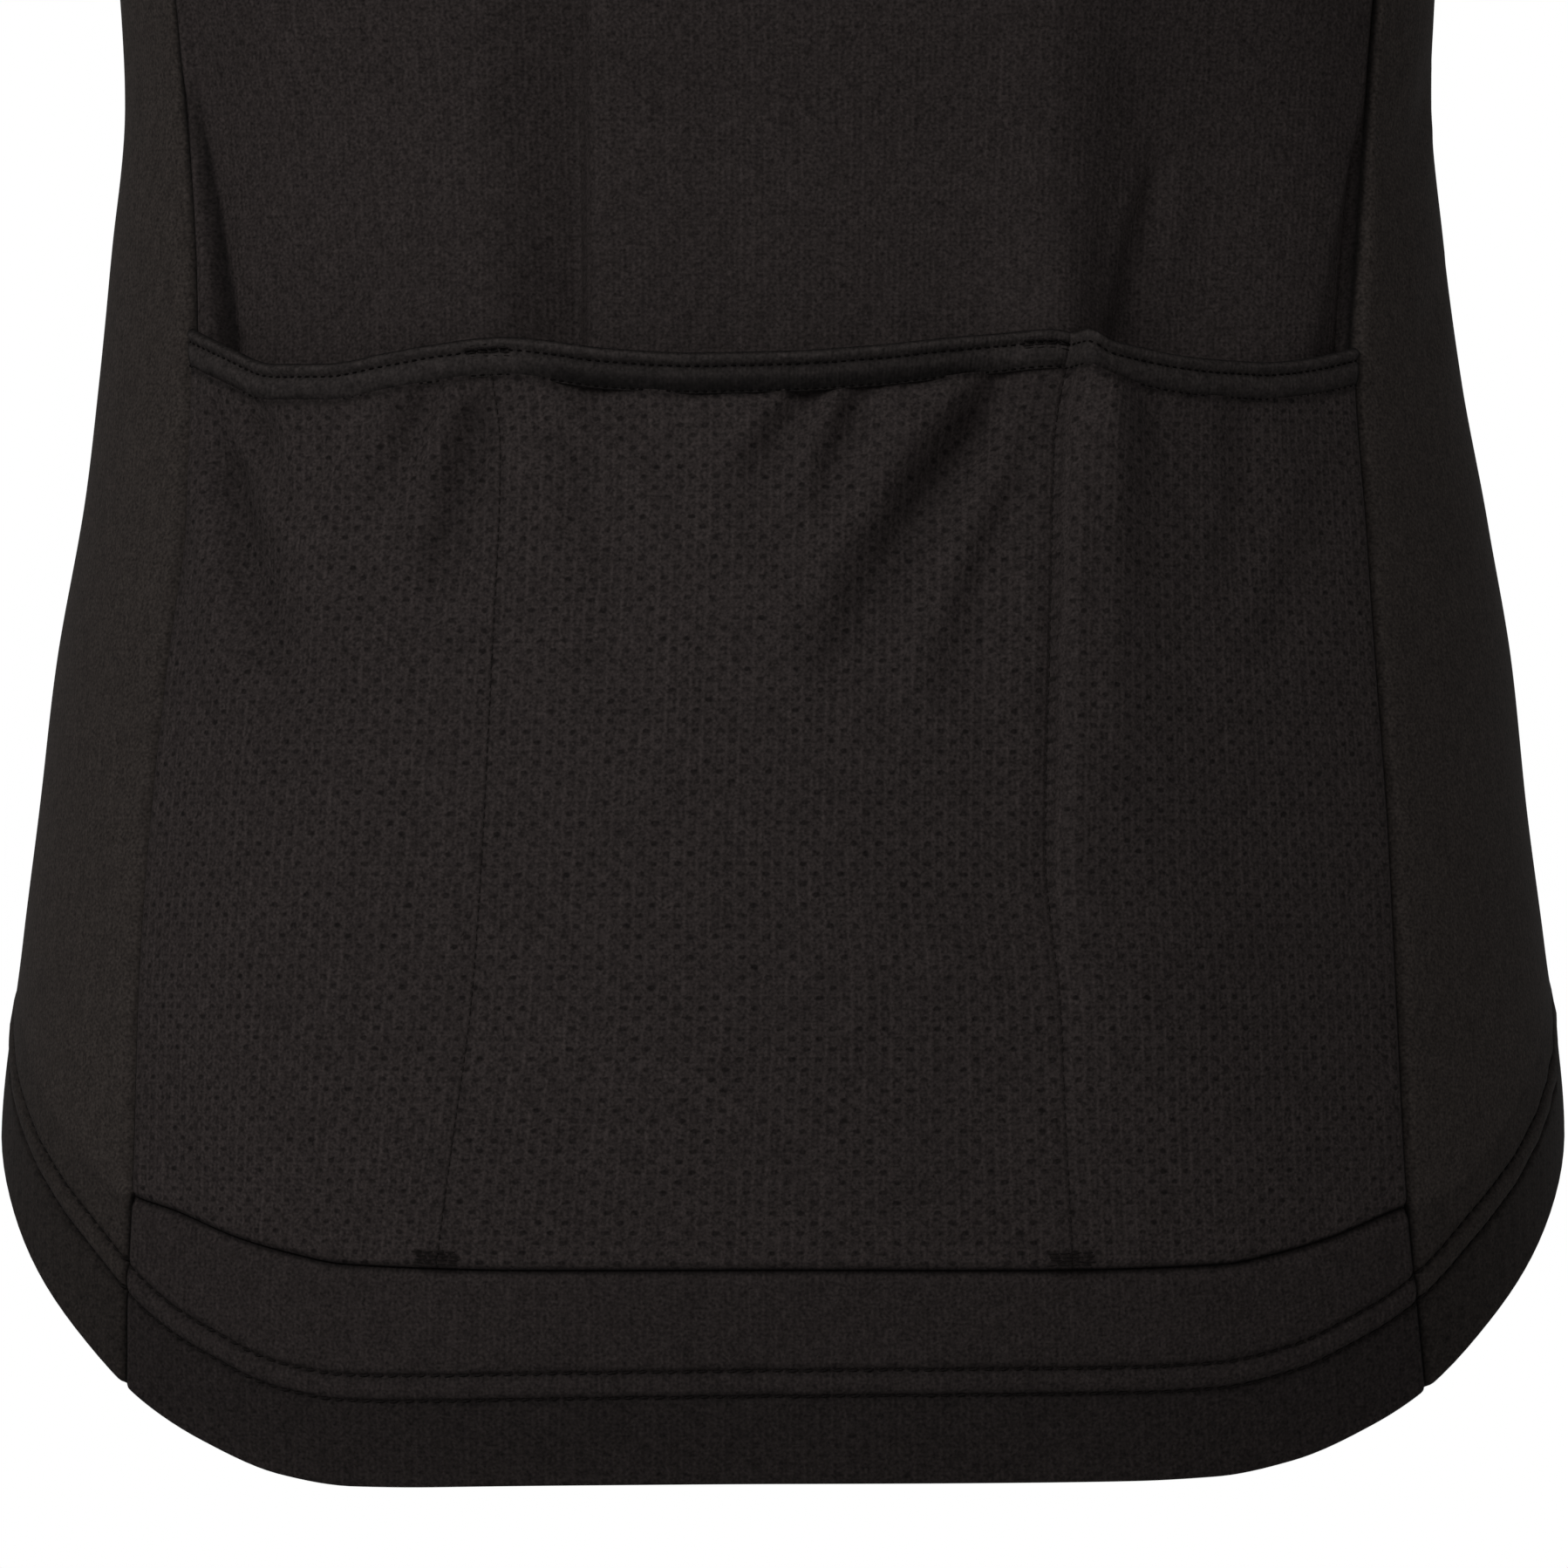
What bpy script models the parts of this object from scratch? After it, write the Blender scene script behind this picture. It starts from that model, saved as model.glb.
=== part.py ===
"""Cycling jersey, filled out as it is when worn, built from its cut and sewn pieces.

Frame: +Z up, the front of the jersey faces -Y, the wearer's left is +X. The origin is the middle of
the neck, level with the points where the shoulder seams meet the collar. The tables and functions
work in millimetres and measure heights as a drop below the origin; the meshes are in metres.

Every piece of cloth is a closed wall between an outer and an inner grid of points. The torso is one
smooth form of super-elliptical rings; the panels are cut from it along the seam tables, the pocket
panel is made from the back panel's points moved out, and the sleeves grow out of the armholes.
"""
import math
from bisect import bisect_right

import bpy
import bmesh
from mathutils import Matrix, Vector

MM = 0.001

# Cloth and seams
SEAM_GAP = 0.3             # between two pieces that are sewn together
LAY_GAP = 0.35             # between a panel and what lies flat against it
KNIT_WALL = 1.2            # one layer of knit
HEM_WALL = 2.0             # the turned-up hem, two layers
COLLAR_WALL = 2.0
CUFF_WALL = 1.8
TAPE_WALL = 0.8
BINDING_PROUD = 0.5        # how far the pocket binding stands out from the pocket cloth
HEM_BAND = (19.0, 24.4)    # heights of the two rows of hem stitching above the edge
HEM_MARGIN = 0.5           # how far the turned-up layer reaches above the upper row
PANEL_TUCK = 1.6           # how far the back panel sits in behind the pocket cloth where they are sewn
PANEL_SAG = 5.0            # how much further in it goes between those seams
SAG_EDGE = 9               # distance from a side seam over which it does so
SAG_PARTING = 15           # half width of the strip that stays out along a row of divider stitching
TUCK_RUN = 62              # height over which it eases in above the pocket mouths
TUCK_STEP = (3.6, 0.2)     # below the pocket seam: where the step to the hem begins and ends
SAG_RISE = 40              # height above the pocket seam over which the sag begins
POCKET_EASE = 4.0          # how far the pocket cloth bulges out between its seams
POCKET_FULL_AT = 0.45      # share of the pocket's height where the bulge is full
FOLD_ROOM = 2.0            # a pocket's folds reach their full depth where it bulges this much

# Torso rings: drop, half width, front depth, back depth, sideways lean of the middle
RING_ROUNDNESS = 2.2
TORSO = (
    (-12, 36, 38, 38, 0),
    (0, 68, 48, 46, 0),
    (18, 116, 56, 52, 0),
    (45, 188, 63, 70, 0),
    (75, 196, 72, 86, 0),
    (120, 187, 98, 103, 0),
    (160, 178, 112, 109, 0),
    (200, 168, 120, 108, 0),
    (260, 161, 121, 102, 0),
    (330, 150, 108, 95, 0.8),
    (410, 142.2, 100, 94, 1.6),
    (440, 144.7, 99, 99, 1.6),
    (470, 148.2, 99, 106, 1.0),
    (501, 153.1, 101, 114, 0),
    (531, 158.3, 104, 121.5, 0),
    (562, 161.9, 106, 127.5, 0),
    (592, 165.8, 108, 131.5, 0),
    (634, 170.2, 109, 133, 0),
    (665, 170.5, 109, 130, 0),
    (706, 169, 109, 122, 0),
    (730, 168, 109, 117, 0),
)

# Hem edge: angle round the body from centre back, rise above the lowest point of the tail
TAIL_DROP = 705.8
HEM_RISE = (
    (0, 0), (24, 0), (31, 0.4), (38, 3.2), (46, 10.3), (52, 17.4), (61.4, 32), (71, 46.4),
    (80.3, 61), (90, 76), (98, 86), (108, 93), (122, 96), (150, 95), (180, 91),
)
# Line of the pocket's bottom seam: angle from centre back, drop. Past the pockets it is only a row.
POCKET_SEAM = (
    (0, 660.2), (17, 660.4), (31, 659.4), (36, 657.2), (41, 654.2), (48, 648.6), (54, 645),
    (70, 621), (90, 592), (120, 570), (180, 570),
)
# Seams between the back and the side panels: drop, distance from the middle on the left, right
BACK_SEAM = (
    (190, 166.4, 166.4), (225, 158.5, 157.5), (260, 151, 149), (330, 138.5, 135.5),
    (406, 130.8, 127.4), (445, 128.6, 124.6), (470, 128.2, 123.2), (500, 128.8, 125),
    (530, 132.3, 126.9), (567, 135.8, 129.7), (605, 138.5, 131.6), (645, 140, 133.4),
    (687, 141.9, 137.6), (706, 143, 139.5),
)
# Seams between the front and the side panels: drop, distance from the middle
FRONT_SEAM = (
    (190, 166.4), (260, 150), (330, 137), (406, 129), (470, 131), (530, 138), (600, 144), (706, 148),
)
# Top edge of the pocket binding: x, drop
POCKET_MOUTH = (
    (-123, 463), (-112, 465.7), (-100.7, 466.8), (-82, 465.5), (-67, 462.8), (-55.8, 461.2),
    (-37, 463), (-18.7, 465.1), (0, 466.4), (18.3, 466.8), (36.8, 465.6), (60, 462.5),
    (74, 464.1), (96.5, 468.4), (108, 468.9), (120, 464.2), (128.5, 460),
)
BINDING_HEIGHT = 8.0
# The binding's own section: share of its height, how far it stands out from the pocket cloth
BINDING_PROFILE = ((0.0, BINDING_PROUD), (0.45, BINDING_PROUD), (0.85, BINDING_PROUD), (1.0, 0.1))
# Rows of stitching that part the pockets: drop, x of the left one, x of the right one
DIVIDERS = (
    (464, 63, -60), (488, 60, -56.5), (532, 61.6, -55.8), (573, 63.6, -55.1), (604, 66, -58.2),
    (632, 69.8, -59.4), (660, 73.6, -61),
)
# Largest folds of the pocket cloth: x and drop of each end, half width, depth (below 0: a ridge)
POCKET_FOLDS = (
    (-46.5, 474, -5.7, 531, 7, 3.2),
    (-53.5, 476, -28, 546, 6, 1.8),
    (9, 492, -5, 475, 5, 1.4),
    (45, 474, 29, 497, 6, 1.5),
    (66.5, 478, 75, 530, 6, 1.8),
    (122, 480, 107, 536, 7, 1.8),
    (-115.5, 490, -102.5, 530, 7, 1.6),
    (-64, 474, -64, 548, 6, -1.5),
)
# Largest folds of the back panel, with the same columns; they fade out just above the mouths
BACK_FOLDS = (
    (-86, 390, -73, 464, 7, 3.0),
    (66.5, 400, 66.5, 462, 8, 1.2),
    (50, 400, 50, 462, 8, 1.0),
    (-61.5, 404, -61.5, 462, 7, 1.0),
    (128, 404, 121, 462, 6, 1.6),
    (-125, 404, -115, 463, 7, 1.8),
)
FOLD_FADE = (14, 20)       # below the mouth line where they end, and the height they fade over

# Neck opening, seen from above
NECK_HALF_WIDTH = 68
NECK_FRONT = 72
NECK_BACK = 50.5
# Height of the collar: turn round the neck from centre back, height
COLLAR_HEIGHTS = (
    (0, 47), (10, 45.5), (20, 41.5), (30, 38.1), (40, 36.3), (60, 34.9), (90, 34), (130, 35),
    (180, 36),
)
COLLAR_LEAN = 0.17
COLLAR_LIFT = 0.6          # the collar's lower edge above the neckline, which slants at the sides

# Armholes: an oval seen from the side, and where the side panel's seams meet it
ARMHOLE_DROP = 122.5
ARMHOLE_HALF_HEIGHT = 77.5
ARMHOLE_HALF_DEPTH = 55
ARMPIT_DROP = 190
ARMHOLE_GAP = 0.4
# Sleeve sections: share of the way, x, drop, tilt of the sleeve in degrees, half height, half depth
SLEEVE = (
    (0.0, 177.5, 122.5, 9.2, 78.5, 55),
    (0.3, 212, 151, 28, 66, 58),
    (0.6, 248, 196, 44, 58, 55),
    (0.85, 281, 246, 50, 54, 53),
    (1.0, 302, 277, 52, 52.5, 52),
)
SEAM_BLEND = 0.3           # share of the sleeve over which the armhole's own shape fades out
CUFF_LENGTH = 34
CUFF_HALF_HEIGHT = 51
CUFF_PROUD = 0.3           # how far the elastic stands out from the sleeve's cloth

# Zip: half the opening between the fronts, the coil and its tapes
ZIP_HALF_GAP = 3.5
COIL_HALF_WIDTH = 2.6
COIL_PROUD = 0.6
TAPE_START = 2.9           # where the tape's plain cloth begins beside the coil
TAPE_REACH = 12
ZIP_TOP = 0.9              # share of the collar's height where the coil ends
# Slider: a box is (half width, lowest, highest along the zip, inner face, outer face)
SLIDER_FRONT = (4.0, -8.4, 2.4, 0.95, 2.15)
SLIDER_POST = (1.9, 0.4, 2.4, -4.0, 1.5)
SLIDER_BACK = (4.0, -8.4, 2.4, -4.7, -3.5)
SLIDER_ROUNDING = 0.35
BAIL_WIRE = 0.55
BAIL_HALF_LENGTH = 2.6
BAIL_RISE = 3.1
BAIL_SUNK = 0.5            # how deep its feet sit in the slider's front plate
BAIL_STEPS = 12
BAIL_ARCH = 0.7            # power of the arch's sine: below 1 it has square shoulders
PULL_PIVOT = (-3.0, 3.5)   # along the zip from the coil's end, out from the cloth
PULL_THICKNESS = 1.4
PULL_BAR = 0.6             # half the bar that lies under the bail
PULL_WINDOW = (1.5, 4.4)   # half width, how far it reaches below the pivot
PULL_LENGTH = 21
PULL_HALF_WIDTH = (2.5, 2.9)
CORNER_STEPS = 4

# How the grids are cut
ARC_PER_DEGREE = 2.6       # length of one degree round the body at the hem
TRIAL_DROP = 600           # where the search for a point on a slanting column starts
TRIALS = 5
SIDE_COLUMNS = 7
NECK_COLUMNS = 6           # columns of a half panel that end at the neck
COLLAR_ROWS = (0.0, 0.35, 0.7, 1.0)
SHOULDER_COLUMNS = 5       # columns of a half panel that end at the shoulder seam
ARMHOLE_ROWS = 10
POCKET_COLUMNS = (10, 13, 10)
POCKET_ROWS = 20
SLEEVE_ROWS = 7
CUFF_ROWS = (0.0, 0.5, 1.0)
ROW_SPANS = ((480, 7), (400, 7), (ARMPIT_DROP, 8))

# How the cloths and the plastic look: colour, roughness
LOOKS = {
    "mesh_knit": ((0.020, 0.018, 0.017), 0.85),
    "plain_knit": ((0.018, 0.017, 0.016), 0.75),
    "elastic": ((0.024, 0.022, 0.021), 0.65),
    "zip_tape": ((0.012, 0.012, 0.012), 0.7),
    "zip_plastic": ((0.015, 0.015, 0.015), 0.4),
}
SHARP_ANGLE = 40           # edges that are bent more than this are drawn sharp


# ---------------------------------------------------------------- numbers that vary smoothly

def curve(rows, column=1):
    """Smooth function through one column of a table, level past its ends."""
    keys = [row[0] for row in rows]
    values = [row[column] for row in rows]
    steps = [b - a for a, b in zip(keys, keys[1:])]
    rises = [(b - a) / s for a, b, s in zip(values, values[1:], steps)]
    slopes = [rises[0]]
    for before, after in zip(rises, rises[1:]):
        same_way = before * after > 0
        slopes.append(2 * before * after / (before + after) if same_way else 0.0)
    slopes.append(rises[-1])

    def value(at):
        at = min(max(at, keys[0]), keys[-1])
        i = min(bisect_right(keys, at) - 1, len(steps) - 1)
        t = (at - keys[i]) / steps[i]
        bend = slopes[i] * (1 - t) - slopes[i + 1] * t
        ends = values[i] * (1 - t) + values[i + 1] * t
        return ends + t * (1 - t) * (bend * steps[i] - (values[i + 1] - values[i]) * (1 - 2 * t))

    return value


def mix(a, b, share):
    return a + (b - a) * share


def ease(share):
    """0 to 1 with level ends."""
    share = min(max(share, 0.0), 1.0)
    return share * share * (3 - 2 * share)


half_width = curve(TORSO, 1)
front_depth = curve(TORSO, 2)
back_depth = curve(TORSO, 3)
lean = curve(TORSO, 4)
hem_rise = curve(HEM_RISE)
pocket_seam = curve(POCKET_SEAM)
left_back_seam = curve(BACK_SEAM, 1)
right_back_seam = curve(BACK_SEAM, 2)
front_seam = curve(FRONT_SEAM)
mouth = curve(POCKET_MOUTH)
collar_height = curve(COLLAR_HEIGHTS)
left_divider = curve(DIVIDERS, 1)
right_divider = curve(DIVIDERS, 2)
sleeve_section = [curve(SLEEVE, column) for column in range(1, 6)]


# ---------------------------------------------------------------- the torso's form

def ring_value(x, y, drop):
    """0 on the torso, below 0 inside it."""
    depth = back_depth(drop) if y >= 0 else front_depth(drop)
    across = abs(x - lean(drop)) / half_width(drop)
    along = abs(y) / depth
    return across ** RING_ROUNDNESS + along ** RING_ROUNDNESS - 1


def outward(point, step=0.05):
    """Unit normal of the torso at a point on it."""
    x, y, drop = point.x, point.y, -point.z
    slope = Vector((
        ring_value(x + step, y, drop) - ring_value(x - step, y, drop),
        ring_value(x, y + step, drop) - ring_value(x, y - step, drop),
        ring_value(x, y, drop - step) - ring_value(x, y, drop + step),
    ))
    return slope.normalized()


def depth_share(share):
    """How deep a ring still is at a share of its half width, or the other way round."""
    return max(0.0, 1 - min(share, 1.0) ** RING_ROUNDNESS) ** (1 / RING_ROUNDNESS)


def on_torso(x, drop, facing):
    """Point of the torso at x and a drop, on the back (facing 1) or the front (facing -1)."""
    depth = back_depth(drop) if facing > 0 else front_depth(drop)
    y = depth * depth_share(abs(x - lean(drop)) / half_width(drop))
    return Vector((x, facing * (y + SEAM_GAP / 2), -drop))


def at_angle(angle, drop, side):
    """Point of the torso at an angle from centre back, on the left (side 1) or the right (-1)."""
    turn = math.radians(angle)
    power = 2 / RING_ROUNDNESS
    depth = back_depth(drop) if angle <= 90 else -front_depth(drop)
    x = lean(drop) + side * half_width(drop) * math.sin(turn) ** power
    return Vector((x, depth * abs(math.cos(turn)) ** power, -drop))


def angle_of(x, drop, facing):
    share = min(1.0, abs(x - lean(drop)) / half_width(drop))
    angle = math.degrees(math.asin(share ** (RING_ROUNDNESS / 2)))
    return angle if facing > 0 else 180 - angle


def drop_above(x, y):
    """Drop at which the torso passes through a point of the plan, near the neck and shoulders."""
    low, high = TORSO[0][0], ARMPIT_DROP
    for _ in range(40):
        middle = (low + high) / 2
        if ring_value(x, y, middle) > 0:
            low = middle
        else:
            high = middle
    return high


def armhole(turn, side):
    """Point of the armhole: turn 0 at the shoulder, 90 at the back, 180 at the armpit."""
    y = ARMHOLE_HALF_DEPTH * math.sin(math.radians(turn))
    drop = ARMHOLE_DROP - ARMHOLE_HALF_HEIGHT * math.cos(math.radians(turn))
    depth = back_depth(drop) if y >= 0 else front_depth(drop)
    x = lean(drop) + side * half_width(drop) * depth_share(abs(y) / depth)
    return Vector((x, y, -drop))


def neckline(turn, side):
    """Point of the neckline: turn 0 at centre back, 90 at the shoulder, 180 at centre front."""
    reach = NECK_BACK if turn <= 90 else NECK_FRONT
    x = side * NECK_HALF_WIDTH * math.sin(math.radians(turn))
    y = reach * math.cos(math.radians(turn))
    return Vector((x, y, -drop_above(x, y)))


ARMPIT_TURN = math.degrees(math.acos((ARMHOLE_DROP - ARMPIT_DROP) / ARMHOLE_HALF_HEIGHT))
ARMHOLE_TURNS = [ARMPIT_TURN * (1 - k / ARMHOLE_ROWS) for k in range(ARMHOLE_ROWS + 1)]
BACK_NECK_TURNS = [90 * k / NECK_COLUMNS for k in range(NECK_COLUMNS + 1)]
ZIP_TURN = 180 - math.degrees(math.asin(ZIP_HALF_GAP / NECK_HALF_WIDTH))
FRONT_NECK_TURNS = [mix(ZIP_TURN, 90, k / NECK_COLUMNS) for k in range(NECK_COLUMNS + 1)]
SHOULDER_X = half_width(ARMHOLE_DROP - ARMHOLE_HALF_HEIGHT)


# ---------------------------------------------------------------- rows shared by the body panels

def band_stretch(angle):
    """How much steeper the hem makes its band, measured straight up."""
    slant = (hem_rise(angle + 2) - hem_rise(angle - 2)) / 4
    return math.hypot(1, slant / ARC_PER_DEGREE)


def row_drops(angle):
    """Drops of every row of the body at an angle, from the hem edge up to the armpit."""
    hem = TAIL_DROP - hem_rise(angle)
    seam = pocket_seam(angle)
    drops = [hem] + [hem - height * band_stretch(angle) for height in HEM_BAND]
    drops += [seam + step for step in TUCK_STEP]
    for end, count in ROW_SPANS:
        start = drops[-1]
        drops += [mix(start, end, (k + 1) / count) for k in range(count)]
    return drops


BODY_ROWS = 5 + sum(count for _, count in ROW_SPANS)


def settle(row, angle_at):
    """Drop where a row crosses a column, whose angle depends on the drop."""
    drop = TRIAL_DROP
    for _ in range(TRIALS):
        drop = row_drops(angle_at(drop))[row]
    return drop


def back_seam(side, drop):
    return left_back_seam(drop) if side > 0 else right_back_seam(drop)


def body_wall(drop, angle):
    """Thickness of a body panel: the hem is turned up and sewn down."""
    above_edge = (TAIL_DROP - hem_rise(angle) - drop) / band_stretch(angle)
    return HEM_WALL if above_edge < HEM_BAND[1] + HEM_MARGIN else KNIT_WALL


# ---------------------------------------------------------------- folds

def fold_depth(folds, x, drop):
    """How far the folds of a table press the cloth in at a place."""
    total = 0.0
    for x0, drop0, x1, drop1, half, depth in folds:
        run = (x1 - x0, drop1 - drop0)
        length = math.hypot(*run)
        share = ((x - x0) * run[0] + (drop - drop0) * run[1]) / length ** 2
        off = ((x - x0) * run[1] - (drop - drop0) * run[0]) / length
        past_end = max(0.0, -share, share - 1) * length
        total += depth * math.exp(-(off / half) ** 2 - (past_end / (2 * half)) ** 2)
    return total


def tuck(x, drop):
    """How far the pocket seams hold the back panel in: from above the mouth to the seam."""
    low, high = TUCK_STEP
    above = ease((drop - mouth(x) + TUCK_RUN) / TUCK_RUN)
    below = ease((pocket_seam(angle_of(x, drop, 1)) + low - drop) / (low - high))
    return PANEL_TUCK * above * below


def sag(x, drop):
    """How much further in the back panel goes between the seams that join it to the pockets."""
    edge = back_seam(1 if x > 0 else -1, drop) - abs(x)
    held = 0.0
    for divider in (left_divider, right_divider):
        held += math.exp(-((x - divider(drop)) / SAG_PARTING) ** 2)
    above = ease((drop - mouth(x) + TUCK_RUN) / TUCK_RUN)
    below = ease((pocket_seam(angle_of(x, drop, 1)) - drop) / SAG_RISE)
    return PANEL_SAG * ease(edge / SAG_EDGE) * (1 - held) * above * below


def back_inset(x, drop):
    """Distance of the back panel's outer face inside the torso's form."""
    end, run = FOLD_FADE
    upper = fold_depth(BACK_FOLDS, x, drop) * ease((mouth(x) + end - drop) / run)
    return tuck(x, drop) + sag(x, drop) + upper


# ---------------------------------------------------------------- making walls

def material(name, color, roughness):
    made = bpy.data.materials.new(name)
    made.use_nodes = True
    shader = made.node_tree.nodes["Principled BSDF"]
    shader.inputs["Base Color"].default_value = (*color, 1)
    shader.inputs["Roughness"].default_value = roughness
    return made


def add_object(name, mesh, look, collection):
    made = bpy.data.objects.new(name, mesh)
    collection.objects.link(made)
    if look:
        mesh.materials.append(look)
    return made


def make_wall(name, sheet, look, collection, wraps=False):
    """Closed wall between the outer and inner points of a sheet: rows of columns of pairs."""
    shape = bmesh.new()
    layers = [[[shape.verts.new(pair[layer] * MM) for pair in row] for row in sheet]
              for layer in (0, 1)]
    rows, columns = len(sheet), len(sheet[0])
    steps = range(columns if wraps else columns - 1)
    for points in layers:
        for r in range(rows - 1):
            for c in steps:
                d = (c + 1) % columns
                shape.faces.new((points[r][c], points[r][d], points[r + 1][d], points[r + 1][c]))
    outer, inner = layers
    for c in steps:
        d = (c + 1) % columns
        for r in (0, rows - 1):
            shape.faces.new((outer[r][c], outer[r][d], inner[r][d], inner[r][c]))
    if not wraps:
        for r in range(rows - 1):
            for c in (0, columns - 1):
                shape.faces.new((outer[r][c], outer[r + 1][c], inner[r + 1][c], inner[r][c]))
    bmesh.ops.recalc_face_normals(shape, faces=shape.faces)
    mesh = bpy.data.meshes.new(name)
    shape.to_mesh(mesh)
    shape.free()
    mesh.shade_smooth()
    mesh.set_sharp_from_angle(angle=math.radians(SHARP_ANGLE))
    return add_object(name, mesh, look, collection)


# ---------------------------------------------------------------- body panels

def plan(point):
    """x and drop of a point."""
    return Vector((point.x, -point.z))


def armhole_heights():
    """Shares of the height from the armpit row to the shoulder at the armhole's rows."""
    drops = [-armhole(turn, 1).z for turn in ARMHOLE_TURNS]
    return [(drops[0] - drop) / (drops[0] - drops[-1]) for drop in drops]


def top_edge(column, turns, side):
    """Point of a half panel's upper edge: the neckline, then the shoulder seam."""
    if column <= NECK_COLUMNS:
        point = neckline(turns[column], side)
    else:
        share = (column - NECK_COLUMNS) / SHOULDER_COLUMNS
        x = side * mix(NECK_HALF_WIDTH, SHOULDER_X, share)
        point = Vector((x, 0, -drop_above(x, 0)))
    return point


def upper_half(turns, start_x, end_x, side, facing):
    """Plan of a half panel above the armpit, as rows of (x, drop)."""
    columns = NECK_COLUMNS + SHOULDER_COLUMNS
    tops = [plan(top_edge(c, turns, side)) for c in range(columns + 1)]
    edge = [plan(armhole(turn if facing > 0 else 360 - turn, side)) for turn in ARMHOLE_TURNS]
    start, end = Vector((start_x, ARMPIT_DROP)), Vector((end_x, ARMPIT_DROP))
    rows = []
    for k, v in enumerate(armhole_heights()):
        row = []
        for c, top in enumerate(tops):
            u = c / columns
            rules = mix(mix(start, end, u), top, v) + mix(mix(start, tops[0], v), edge[k], u)
            corners = mix(mix(start, end, u), mix(tops[0], tops[-1], u), v)
            row.append(rules - corners)
        rows.append(row)
    return rows


def back_pair(x, drop):
    """Outer and inner point of the back panel."""
    base = on_torso(x, drop, 1)
    normal = outward(base)
    outer = base - normal * back_inset(x, drop)
    return outer, outer - normal * body_wall(drop, angle_of(x, drop, 1))


def back_panel_sheet():
    half = NECK_COLUMNS + SHOULDER_COLUMNS
    shares = [c / half for c in range(-half, half + 1)]
    rows = []
    for r in range(BODY_ROWS - 1):
        row = []
        for share in shares:
            side = 1 if share > 0 else -1

            def x_at(drop):
                return share * (back_seam(side, drop) - SEAM_GAP / 2)

            drop = settle(r, lambda drop: angle_of(x_at(drop), drop, 1))
            row.append(back_pair(x_at(drop), drop))
        rows.append(row)
    left = upper_half(BACK_NECK_TURNS, 0, back_seam(1, ARMPIT_DROP), 1, 1)
    right = upper_half(BACK_NECK_TURNS, 0, -back_seam(-1, ARMPIT_DROP), -1, 1)
    for left_row, right_row in zip(left, right):
        plan = right_row[:0:-1] + left_row
        rows.append([back_pair(x, drop) for x, drop in plan])
    return rows


def front_pair(x, drop):
    outer = on_torso(x, drop, -1)
    wall = body_wall(drop, angle_of(x, drop, -1))
    return outer, outer - outward(outer) * wall


def front_panel_sheet(side):
    columns = NECK_COLUMNS + SHOULDER_COLUMNS
    rows = []
    for r in range(BODY_ROWS - 1):
        row = []
        for c in range(columns + 1):

            def x_at(drop):
                return side * mix(ZIP_HALF_GAP, front_seam(drop) - SEAM_GAP / 2, c / columns)

            drop = settle(r, lambda drop: angle_of(x_at(drop), drop, -1))
            row.append(front_pair(x_at(drop), drop))
        rows.append(row)
    upper = upper_half(FRONT_NECK_TURNS, side * ZIP_HALF_GAP, side * front_seam(ARMPIT_DROP),
                       side, -1)
    rows += [[front_pair(x, drop) for x, drop in row] for row in upper]
    return rows


def side_panel_sheet(side):
    """Panel from the back seam round to the front seam, from the hem to the armpit."""
    parting = SEAM_GAP / ARC_PER_DEGREE
    rows = []
    for r in range(BODY_ROWS - 1):
        row = []
        for c in range(SIDE_COLUMNS + 1):

            def angle_at(drop):
                back = angle_of(side * back_seam(side, drop), drop, 1) + parting
                front = angle_of(side * front_seam(drop), drop, -1) - parting
                return mix(back, front, c / SIDE_COLUMNS)

            drop = settle(r, angle_at)
            outer = at_angle(angle_at(drop), drop, side)
            wall = body_wall(drop, angle_at(drop))
            row.append((outer, outer - outward(outer) * wall))
        rows.append(row)
    top = []
    for turn in armpit_turns():
        outer = armhole(turn, side)
        normal = outward(outer)
        if turn in (armpit_turns()[0], armpit_turns()[-1]):
            outer = outer + Vector((0, -math.copysign(SEAM_GAP, outer.y), -SEAM_GAP))
        top.append((outer, outer - normal * KNIT_WALL))
    return rows + [top]


def armpit_turns():
    """Turns of the armhole along the top of the side panel, from the back to the front."""
    return [mix(ARMPIT_TURN, 360 - ARMPIT_TURN, c / SIDE_COLUMNS) for c in range(SIDE_COLUMNS + 1)]


# ---------------------------------------------------------------- pockets

def pocket_columns(drop):
    """x of every column of the pocket cloth at a drop; the dividers are columns too."""
    stops = (-right_back_seam(drop) + SEAM_GAP / 2, right_divider(drop), left_divider(drop),
             left_back_seam(drop) - SEAM_GAP / 2)
    columns = []
    for first, last, count in zip(stops, stops[1:], POCKET_COLUMNS):
        columns += [mix(first, last, k / count) for k in range(count)]
    return columns + [stops[-1]]


def pocket_bulge(x, drop, height):
    """How far the pocket cloth stands out from its seams; height is 0 at the seam, 1 at the mouth."""
    stops = (-right_back_seam(drop), right_divider(drop), left_divider(drop), left_back_seam(drop))
    inside = [k for k in range(3) if stops[k] <= x <= stops[k + 1]]
    k = inside[0] if inside else 0
    share = (x - stops[k]) / (stops[k + 1] - stops[k])
    across = 1 - (2 * min(max(share, 0), 1) - 1) ** 2
    upward = math.sin(math.pi / 2 * min(1.0, height / POCKET_FULL_AT))
    bulge = POCKET_EASE * across * upward
    folds = fold_depth(POCKET_FOLDS, x, drop) * min(1.0, bulge / FOLD_ROOM)
    return LAY_GAP + max(0.0, bulge - folds)


def pocket_pair(x, drop, height):
    """Outer and inner point of the pocket cloth, made from the back panel's moved out."""
    base = on_torso(x, drop, 1)
    normal = outward(base)
    inner = base + normal * (pocket_bulge(x, drop, height) - tuck(x, drop))
    return inner + normal * KNIT_WALL, inner


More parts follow.
